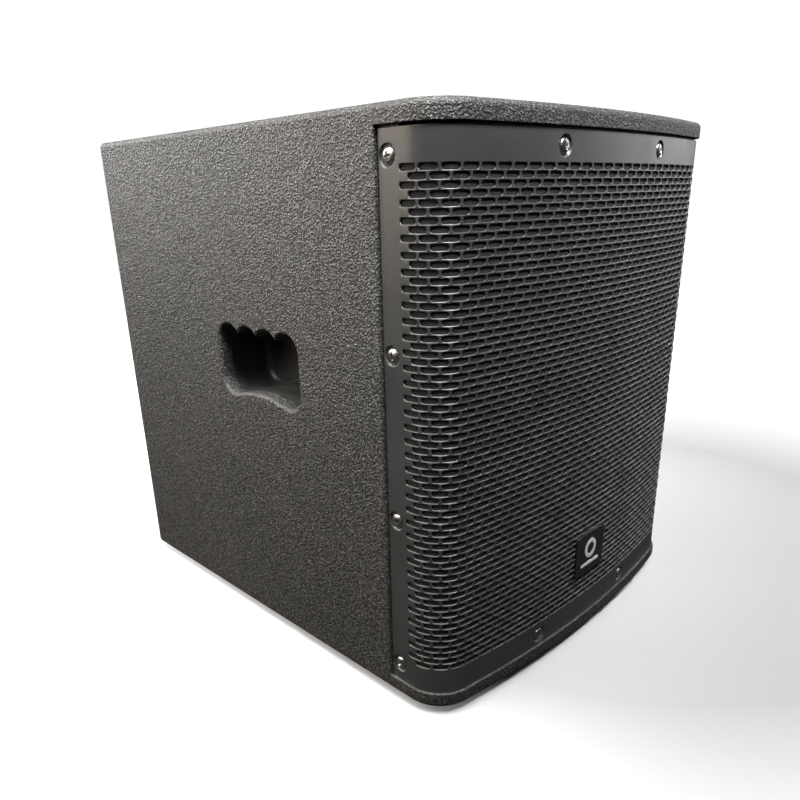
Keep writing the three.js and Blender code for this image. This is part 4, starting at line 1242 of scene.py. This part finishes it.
def make_driver():
    """The driver's turned pieces, each from a profile of (radius, height behind the baffle's front)."""
    basket = [
        (193, -6), (193, -0.8), (192.4, -0.3), (175, -0.3), (173, 23), (98, 94), (98, 102.3), (45, 102.3),
        (45, 99), (84, 99), (84, 85), (101.7, 85), (170.3, 20), (171, -6),
    ]
    basket = on_driver("driver_basket", basket)
    windows = []
    for leg in range(6):
        middle = leg * TURN / 6
        line = arc((0, DRIVER_Z), 162, middle - 0.34, middle + 0.34, 10)
        line += arc((0, DRIVER_Z), 108, middle + 0.3, middle - 0.3, 8)
        windows.append(prism("window", line, BAFFLE_FRONT + 15, BAFFLE_FRONT + 97, "y"))
    carved(basket, *windows)
    softened(basket, 1.0, 2, 50)
    placed(shaded(basket), "cabinet", "black_metal", "driver_frame")

    gasket = [(179, -6.3), (192, -6.3), (192, -9.4), (191.2, -10), (179.8, -10), (179, -9.4)]
    wheel("driver_gasket_ring", gasket, "black_rubber", "driver_gasket")
    cone = [(149, 0), (144, 0), (132, 9.4), (120, 18.3), (105, 28.6), (90, 38.4), (75, 47.5), (60, 56.2)]
    cone.append((38.9, 67))
    wheel("driver_cone", walled(cone, 1.5), "paper_pulp", "cone", "cone_assembly", 96)
    cap = [(50 - 5 * i, 59.8 - 15 * (1 - ((50 - 5 * i) / 50) ** 2)) for i in range(11)]
    wheel("driver_dust_cap", walled(cap, 1.0), "paper_pulp", "dust_cap", "cone_assembly")
    coil = [(37.6, 60.8), (38.5, 60.8), (38.5, 94)]
    for turn_number in range(18):
        height = 94 + turn_number * 1.55
        coil += [(39.4, height + 0.2), (39.8, height + 0.78), (39.4, height + 1.35)]
    coil += [(38.5, 122), (37.6, 122)]
    wheel("driver_voice_coil", coil, "copper_wire", "voice_coil", "cone_assembly", 64, 75)

    roll = [(178.5, -7.5)]
    for i in range(19):
        angle = math.pi * i / 18
        roll.append((161 + 10.5 * math.cos(angle), -7.5 + 6 * i / 18 - 10.5 * math.sin(angle)))
    roll.append((144, -1.5))
    bent_between("driver_surround", walled(roll, 1.2), "black_rubber", "surround")
    folds = 60
    ripple = []
    for i in range(folds + 1):
        share = i / folds
        ripple.append((39.1 + 57 * share, 76 + 7.4 * share + 2.2 * math.sin(share * 6 * math.pi)))
    bent_between("driver_spider", walled(ripple, 0.9), "spider_cloth", "spider")

    front_plate = [(41.5, 103.1), (42, 102.6), (87, 102.6), (88, 103.6), (88, 111), (87, 112), (41.5, 112)]
    wheel("driver_front_plate", front_plate, "plated_steel", "front_magnet_plate")
    ring = [(48, 113.3), (49, 112.3), (91, 112.3), (92, 113.3), (92, 131), (91, 132), (49, 132), (48, 131)]
    wheel("driver_magnet", ring, "ferrite", "magnet")
    yoke = [
        (12, 103), (13, 102), (35.8, 102), (36.8, 103), (36.8, 132.3), (88, 132.3), (88, 142.5),
        (86.5, 144), (13.5, 144), (12, 142.5),
    ]
    wheel("driver_yoke", yoke, "plated_steel", "yoke")
    head = screw_head("driver_screw", 5, 2.4, 2.3, 16)
    ring = arc((0, DRIVER_Z), 185.5, TURN / 16, TURN * 17 / 16, 8, False)
    spots = [((x, BAFFLE_FRONT - 10, z), AHEAD) for x, z in ring]
    make_screws("driver_screws", spots, head, "black_metal", 11)


def make_ports():
    """Two straight tubes with a flange and a flared mouth."""
    for name in ("left_port_tube", "right_port_tube"):
        low, high = [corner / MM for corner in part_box(name)]
        x, z = (low.x + high.x) / 2, (low.z + high.z) / 2
        front, rear = low.y, high.y
        profile = [(54, front + 0.6), (54, front + 3), (48, front + 3), (48, rear), (45, rear)]
        for i in reversed(range(9)):
            angle = QUARTER * i / 8
            profile.append((45 + 9 * (1 - math.sin(angle)), front + 8 * (1 - math.cos(angle))))
        tube = turned("port_" + name.split("_")[0], profile, 72, (x, 0, z), "y")
        placed(shaded(tube, 50), "cabinet", "black_plastic", name)


# ---- rear amplifier ----


def make_plate():
    """The amplifier's face with an opening for each control, and its screws."""
    cuts = [disc_line(x, CONTROLS_Z, 11.9) for x in (XLR_IN_X, XLR_OUT_X)]
    cuts += [disc_line(x, CONTROLS_Z, 3.5, 24) for x in (GAIN_X, CROSSOVER_X)]
    cuts.append(rounded_rectangle(*about(PHASE_X, CONTROLS_Z, 7, 3), 0.5))
    cuts.append(rounded_rectangle(*about(INLET_X, POWER_Z, 15, 11), 1))
    cuts.append(rounded_rectangle(*about(ROCKER_X, POWER_Z, 10.3, 13.3), 1))
    box = (PLATE_LO.x, PLATE_HI.x, PLATE_LO.z, PLATE_HI.z)
    plate = slab("amplifier_face", box, PLATE_LO.y, PLATE_HI.y, 5, 0.5, cuts)
    placed(plate, "cabinet", "black_aluminium", "amplifier_plate")
    inset = 8
    columns = (PLATE_LO.x + inset, PLATE_HI.x - inset)
    rows = [PLATE_LO.z + inset + (PLATE_HI.z - PLATE_LO.z - 2 * inset) * i / 4 for i in range(5)]
    spots = [((x, PLATE_FACE, z), OUT_BEHIND) for x in columns for z in rows]
    spots += [((0, PLATE_FACE, z), OUT_BEHIND) for z in (rows[0], rows[-1])]
    head = screw_head("plate_screw", 4.2, 2.3, 1.9, 12)
    make_screws("amplifier_screws", spots, head, "screw_steel", 13)


def make_xlr(name, x, node_name, sockets):
    """A panel connector: flange with a deep round mouth, and contacts at its floor."""
    face = CONTROL_SEAT
    mouth = 9.4
    box = about(x, CONTROLS_Z, 13, 15.5)
    flange = slab(name + "_flange", box, face, face + 2.4, 3, 0.35, [disc_line(x, CONTROLS_Z, mouth, 56)])
    deep, pin_floor = face - 17.8, face - 12.6
    shell = [(mouth, face + 0.3), (11.5, face + 0.3), (11.5, deep), (0, deep)]
    shell += [(0, pin_floor), (mouth, pin_floor)]
    shell = turned("shell", shell, 56, (x, 0, CONTROLS_Z), "y")
    rim = [(mouth, face + 2.2), (mouth, face + 3), (mouth + 0.4, face + 3.3), (mouth + 1.5, face + 3.3),
           (mouth + 1.9, face + 2.9), (mouth + 1.9, face + 2.2)]
    rim = turned("rim", rim, 56, (x, 0, CONTROLS_Z), "y")
    placed(shaded(together(name, flange, shell, rim)), "cabinet", "black_metal", node_name)

    spots = arc((x, CONTROLS_Z - 0.6), 4.4, -TURN / 3, TURN / 3, 2)
    spots = [(x + (z - CONTROLS_Z), CONTROLS_Z - (sx - x)) for sx, z in spots]
    if sockets:
        core = [(0, face - 12.4), (8.3, face - 12.4), (8.3, face - 1.4), (7.9, face - 1), (0, face - 1)]
        core = turned("core", core, 48, (x, 0, CONTROLS_Z), "y")
        tools = [prism("contact", disc_line(sx, sz, 1.4, 20), face - 9, face + 3, "y") for sx, sz in spots]
        carved(core, *tools)
        core.name = name + "_core"
        placed(shaded(core), "cabinet", "black_plastic")
        box = (x - 3.2, x + 3.2, CONTROLS_Z + 10, CONTROLS_Z + 13.6)
        placed(slab(name + "_latch", box, face + 2.2, face + 3.6, 0.8, 0.3), "cabinet", "bright_metal")
    else:
        pins = []
        for sx, sz in spots:
            tip = face - 1.4
            profile = [(0, face - 12.7), (1.15, face - 12.7), (1.15, tip - 1), (0.7, tip - 0.2), (0, tip)]
            pins.append(turned("pin", profile, 20, (sx, 0, sz), "y"))
        placed(shaded(together(name + "_pins", *pins)), "cabinet", "bright_metal")
    spots = [((x + way * 9.8, face + 2.4, CONTROLS_Z - way * 12.3), OUT_BEHIND) for way in (-1, 1)]
    make_screws(name + "_screws", spots, screw_head("xlr_screw", 2.6, 1.3, 1.2, 8), "black_metal", 17)


def make_knob(name, x, node_name, body):
    """A fluted knob with a pointer, on a round shaft."""
    base = PLATE_FACE + 0.6
    flutes, steps = 18, 144
    skirt = [(9.5, 0.0, 0), (9.5, 2.6, 0), (9.1, 3.0, 0)]
    grip = [(8.3, 3.2, 0.3), (7.9, 11.2, 0.3), (7.4, 12.2, 0.15), (6.6, 12.6, 0)]
    rings = []
    for radius, height, depth in skirt + grip:
        ring = []
        for i in range(steps):
            angle = TURN * i / steps
            reach = radius - depth * (1 + math.cos(flutes * angle))
            ring.append((x + reach * math.cos(angle), base + height, CONTROLS_Z + reach * math.sin(angle)))
        rings.append(ring)
    cap = lofted(name + "_cap", rings)
    shaft = [(0, base - 6.9), (3, base - 6.9), (3, base + 0.2), (0, base + 0.2)]
    shaft = turned("shaft", shaft, 32, (x, 0, CONTROLS_Z), "y")
    placed(shaded(together(name, cap, shaft), 35), body, "black_plastic", node_name)
    box = (x - 0.6, x + 0.6, CONTROLS_Z + 1.6, CONTROLS_Z + 6.6)
    placed(slab(name + "_pointer", box, base + 12.4, base + 12.8, 0.5, 0), body, "pale_print")
    tick = slab("tick", (-0.35, 0.35, 12.2, 14.4), -0.02, 0.09, 0.3, 0)
    sweep = math.radians(KNOB_SWEEP)
    spots = [((x, PLATE_FACE, CONTROLS_Z), (0, -sweep + 2 * sweep * i / 10, 0)) for i in range(11)]
    placed(copied(name + "_dial_marks", tick, spots, "pale_print"), "cabinet", "pale_print")


def make_phase_switch():
    """A slide switch: bezel and case with a slot, and a ridged slider in it."""
    face, x, z = CONTROL_SEAT, PHASE_X, CONTROLS_Z
    slot_line = rounded_rectangle(*about(x, z, 5, 2), 0.4)
    bezel = slab("phase_bezel", about(x, z, 12, 6), face, face + 1.4, 1.5, 0.3, [slot_line])
    inside = slab("phase_inside", about(x, z, 6.6, 2.7), face - 11, face + 0.1, 0.4, 0)
    carved(inside, prism("slot", slot_line, face - 7, face + OVERCUT, "y"))
    case = shaded(together("phase_switch_case", bezel, inside))
    placed(case, "cabinet", "black_plastic", "phase_switch_body")
    low, high = [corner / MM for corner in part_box("phase_slider")]
    parts = [slab("slider", (low.x, high.x, low.z, high.z), low.y, high.y - 0.5, 0.3, 0.2)]
    for i in range(3):
        middle = low.x + (high.x - low.x) * (i + 0.5) / 3
        box = (middle - 0.4, middle + 0.4, low.z + 0.1, high.z - 0.1)
        parts.append(slab("ridge", box, high.y - 0.7, high.y, 0.15, 0.1))
    placed(shaded(together("phase_switch_slider", *parts)), "phase_switch", "red_plastic", "phase_slider")
    spots = [((x + side * 9, face + 1.4, z), OUT_BEHIND) for side in (-1, 1)]
    make_screws("phase_switch_screws", spots, screw_head("phase_screw", 1.9, 1.0, 0.9, 6), "black_metal", 19)


def make_mains_inlet():
    """A mains inlet: flange, tub with a cut-cornered mouth, and three blades."""
    face, x, z = CONTROL_SEAT, INLET_X, POWER_Z
    cut = 3.6
    mouth = [
        (x - 12.2, z - 8), (x + 12.2, z - 8), (x + 12.2, z + 8 - cut), (x + 12.2 - cut, z + 8),
        (x - 12.2 + cut, z + 8), (x - 12.2, z + 8 - cut),
    ]
    flange = slab("inlet_flange", about(x, z, 25, 14), face, face + 2.5, 4, 0.5, [mouth])
    tub = slab("inlet_tub", about(x, z, 14.5, 10.5), face - 23, face + 0.1, 1.5, 0)
    carved(tub, prism("mouth", mouth, face - 14.5, face + OVERCUT, "y"))
    placed(shaded(together("mains_inlet_case", flange, tub)), "cabinet", "black_plastic", "mains_inlet")
    blades = []
    for blade_x, blade_z in ((-7, -1.6), (0, 2.4), (7, -1.6)):
        box = about(x + blade_x, z + blade_z, 1, 2)
        blades.append(slab("blade", box, face - 14.6, face - 1.5, 0.5, 0.3))
    placed(shaded(together("mains_inlet_blades", *blades)), "cabinet", "bright_metal")
    spots = [((x + side * 20, face + 2.5, z), OUT_BEHIND) for side in (-1, 1)]
    make_screws("mains_inlet_screws", spots, screw_head("inlet_screw", 3, 1.6, 1.4, 9), "black_metal", 23)


def make_power_switch():
    """A rocker in its well, tipped one way at rest, with a bar and a ring printed on it."""
    face, x, z = CONTROL_SEAT, ROCKER_X, POWER_Z
    well = rounded_rectangle(*about(x, z, 8.3, 11.4), 0.6)
    bezel = slab("rocker_bezel", about(x, z, 12.5, 16), face, face + 2.1, 2, 0.5, [well])
    tub = slab("rocker_tub", about(x, z, 9.9, 12.9), face - 17, face + 0.1, 0.8, 0)
    carved(tub, prism("well", well, face - 14.3, face + OVERCUT, "y"))
    case = shaded(together("power_switch_case", bezel, tub))
    placed(case, "cabinet", "black_plastic", "rocker_housing")
    tip = math.radians(-ROCKER_TIP)
    pivot_y = PLATE_FACE - 3

    def tipped(y, up):
        return pivot_y + y * math.cos(tip) - up * math.sin(tip), z + y * math.sin(tip) + up * math.cos(tip)

    outline = [(-3, -10.2), (5.4, -10.2), (4.2, -5), (3.4, 0), (4.2, 5), (5.4, 10.2), (-3, 10.2), (-5.6, 0)]
    rocker = prism("power_switch_rocker", [tipped(*spot) for spot in outline], x - 7.9, x + 7.9, "x")
    softened(rocker, 0.5, 3, 30)
    placed(shaded(rocker), "power_switch", "black_plastic", "power_rocker")

    def on_face(points, lift):
        """Marks drawn as (across, along), raised from the rocker's own two-slope face."""
        spots = []
        for across, along in points:
            height = 3.4 + max(0.16 * abs(along), 0.231 * abs(along) - 0.354)
            spots.append((x + across, *tipped(height + lift, along)))
        return spots

    sunk, proud = -0.2, 0.15
    bar = rounded_rectangle(-0.5, 0.5, 4.6, 8.6, 0.3)
    marks = [lofted("bar", [on_face(bar, lift) for lift in (sunk, proud)])]
    circles = [disc_line(0, -6.6, radius, 32) for radius in (2.1, 1.4)]
    points = []
    for which, lift in ((0, sunk), (0, proud), (1, proud), (1, sunk)):
        points += on_face(circles[which], lift)
    count = len(circles[0])
    faces = []
    for wall in range(4):
        near, far = wall * count, (wall + 1) % 4 * count
        faces += [(near + i, near + (i + 1) % count, far + (i + 1) % count, far + i) for i in range(count)]
    marks.append(tidied(mesh_object("circle", points, faces)))
    placed(shaded(together("power_switch_marks", *marks)), "power_switch", "pale_print")


def make_heatsink():
    """A base with a row of upright fins."""
    low, high = [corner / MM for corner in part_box("heatsink")]
    base = slab("heatsink_base", (low.x, high.x, low.z, high.z), low.y, low.y + 4, 1, 0.3)
    fin = prism("fin", rounded_rectangle(-1.5, 1.5, 0, high.y - low.y - 3.8, 1.2, 3), low.z, high.z, "z")
    shaded(softened(fin, 0.5))
    fins = 17
    run = high.x - low.x - 3
    spots = [((low.x + 1.5 + run * i / (fins - 1), low.y + 3.8, 0), (0, 0, 0)) for i in range(fins)]
    ribs = copied("heatsink_fins", fin, spots, "black_aluminium")
    placed(shaded(together("heatsink_body", base, ribs)), "cabinet", "black_aluminium", "heatsink")


def make_transformer():
    """A toroid with rounded corners."""
    low, high = [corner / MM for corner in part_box("power_transformer")]
    x, z = (low.x + high.x) / 2, (low.z + high.z) / 2
    outer, inner = (high.x - low.x) / 2, 14
    near, far = low.y, high.y
    corners = ((outer - 6, far - 6), (inner + 6, far - 6), (inner + 6, near + 6), (outer - 6, near + 6))
    profile = []
    for quarter, middle in enumerate(corners):
        start = quarter * QUARTER
        profile += arc(middle, 6, start, start + QUARTER, 5)
    ring = turned("transformer_ring", profile, 72, (x, 0, z), "y")
    placed(shaded(ring, 50), "cabinet", "transformer_winding", "power_transformer")


# ---- camera, floor and light ----

CAMERA_PLACE = (-593.86, -581.18, 447.47)
CAMERA_TURN = (0.78353, 0.35157, -0.02502)
WORLD_FILL = 0.06
BACKDROP = 1.05
SHADE_PLACE = (0.25, -0.15, 0.0)
SHADE_FROM, SHADE_TO = 0.38, 0.85
FLOOR_REACH = 30.0
FLOOR_BOUNCE = (0.02, 0.018, 0.015)
WHITE = (1, 1, 1)


def make_camera():
    """A wide view from the front left, a little above the middle of the box."""
    data = bpy.data.cameras.new("camera")
    data.sensor_width = 36
    data.lens = 31.635
    data.shift_x = 0.0046
    data.shift_y = 0.0638
    data.clip_start = 0.01
    camera = bpy.data.objects.new("camera", data)
    bpy.context.scene.collection.objects.link(camera)
    yaw, pitch, roll = CAMERA_TURN
    forward = Vector((math.sin(yaw) * math.cos(pitch), math.cos(yaw) * math.cos(pitch), -math.sin(pitch)))
    level = Vector((math.cos(yaw), -math.sin(yaw), 0))
    up = level.cross(forward)
    right = level * math.cos(roll) + up * math.sin(roll)
    up = up * math.cos(roll) - level * math.sin(roll)
    turn = Matrix((right, up, -forward)).transposed().to_4x4()
    camera.matrix_world = Matrix.Translation(Vector(CAMERA_PLACE) * MM) @ turn
    bpy.context.scene.camera = camera


def make_light(name, place, aim, size, power, colour=WHITE, beam=math.pi):
    """A rectangular light; a narrower beam keeps the same power in a smaller cone."""
    data = bpy.data.lights.new(name, "AREA")
    data.shape = "RECTANGLE"
    data.size, data.size_y = size
    data.energy = power
    data.color = colour
    data.spread = beam
    light = bpy.data.objects.new(name, data)
    light.location = place
    light.rotation_mode = "QUATERNION"
    light.rotation_quaternion = (Vector(aim) - Vector(place)).to_track_quat("-Z", "Y")
    light.visible_camera = False
    bpy.context.scene.collection.objects.link(light)


def make_studio():
    """A pale floor with painted light: it glows plain white away from a spot beside the box, so the cast
    shadow stays near that spot; a white world and seven lights.
    """
    floor = mesh_object("studio_floor", [], [])
    floor.data.clear_geometry()
    corners = disc_line(0, 0, FLOOR_REACH, 48)
    floor.data.from_pydata([(x, y, 0) for x, y in corners], [], [tuple(range(len(corners)))])
    made = Finish("pale_floor", Roughness=0.9)
    tree = made.tree
    tone = use(tree, MOTTLE, Vector=made.place, Scale=3.0, Low=0.2, High=0.8)["Mask"]
    made.colour(blended(tree, tone, (0.36, 0.36, 0.36), (0.38, 0.38, 0.38)))
    # painted light: the floor glows white beyond a ring about SHADE_PLACE
    shifted = vector_maths(tree, "SUBTRACT", {0: made.place, 1: SHADE_PLACE})[0]
    away = vector_maths(tree, "LENGTH", {0: shifted})["Value"]
    glow = spread(tree, away, SHADE_FROM, SHADE_TO)
    tree.links.new(blended(tree, glow, (0, 0, 0), WHITE), made.shader.inputs["Emission Color"])
    made.shader.inputs["Emission Strength"].default_value = 1.0
    dim = node(tree, "ShaderNodeBsdfDiffuse", {"Color": (*FLOOR_BOUNCE, 1)})
    seen = node(tree, "ShaderNodeLightPath").outputs["Is Camera Ray"]
    mixed = node(tree, "ShaderNodeMixShader", {0: seen, 1: dim.outputs[0], 2: made.shader.outputs[0]})
    tree.links.new(mixed.outputs[0], tree.nodes["Material Output"].inputs["Surface"])
    floor.data.materials.append(made.material)

    world = bpy.data.worlds.new("studio")
    world.use_nodes = True
    tree = world.node_tree
    background = tree.nodes["Background"]
    background.inputs["Color"].default_value = (1, 1, 1, 1)
    background.inputs["Strength"].default_value = WORLD_FILL
    backdrop = node(tree, "ShaderNodeBackground", {"Color": (1, 1, 1, 1), "Strength": BACKDROP})
    seen = node(tree, "ShaderNodeLightPath").outputs["Is Camera Ray"]
    mixed = node(tree, "ShaderNodeMixShader", {0: seen, 1: background.outputs[0], 2: backdrop.outputs[0]})
    tree.links.new(mixed.outputs[0], tree.nodes["World Output"].inputs["Surface"])
    bpy.context.scene.world = world
    bpy.context.scene.view_settings.view_transform = "Standard"

    make_light("overhead", (-0.75, 0.25, 2.1), (-0.1, 0, 0.3), (1.0, 1.0), 46)
    make_light("front_overhead", (-0.2, -0.62, 2.2), (0, -0.2, 0.3), (0.7, 0.7), 31)
    make_light("front_top", (-0.15, -0.75, 1.3), (0, -0.26, 0.5), (0.9, 0.3), 4.2, (0.98, 0.99, 1), 0.66)
    make_light("upper_left", (-0.95, 0.15, 1.05), (-0.2, 0.1, 0.5), (0.8, 0.5), 3.7, (1, 0.97, 0.93), 1.5)
    make_light("right_window", (2.4, -1.0, 1.2), (0, 0, 0.4), (1.4, 1.6), 17, (0.97, 0.99, 1))
    make_light("left_window", (-2.4, 1.6, 1.0), (0, 0, 0.3), (1.6, 1.4), 27, (1, 0.83, 0.64))
    make_light("rear_window", (-0.9, 2.6, 1.3), (0, 0.2, 0.3), (1.8, 1.4), 70)


make_camera()
make_box()
make_cups()
make_grille()
make_grille_screws()
make_badge()
make_foam()
make_feet()
make_pole_socket()
make_driver()
make_ports()
make_plate()
make_xlr("xlr_input", XLR_IN_X, "xlr_input_socket", True)
make_xlr("xlr_output", XLR_OUT_X, "xlr_output_socket", False)
make_knob("gain", GAIN_X, "gain_knob", "gain_control")
make_knob("crossover", CROSSOVER_X, "crossover_knob", "crossover_control")
make_phase_switch()
make_mains_inlet()
make_power_switch()
make_heatsink()
make_transformer()
for node_name, piece_name, board_finish, board_edge in (
    ("rear_panel", "rear_board", "textured_paint", 0.8),
    ("baffle", "front_baffle", "black_wood", 0.6),
    ("top_grille_batten", "upper_batten", "black_wood", 0.5),
    ("bottom_grille_batten", "lower_batten", "black_wood", 0.5),
    ("cross_brace", "inner_brace", "bare_wood", 0.8),
    ("amplifier_board", "amplifier_circuit", "circuit_board", 0.3),
):
    refined(node_name, piece_name, board_finish, board_edge)

slots = {row["node"]: row["material_slot"] for row in frame["record"]["subparts"]}
for name, cad_node in frame["nodes"].items():
    painted(cad_node, slots[name])

make_studio()
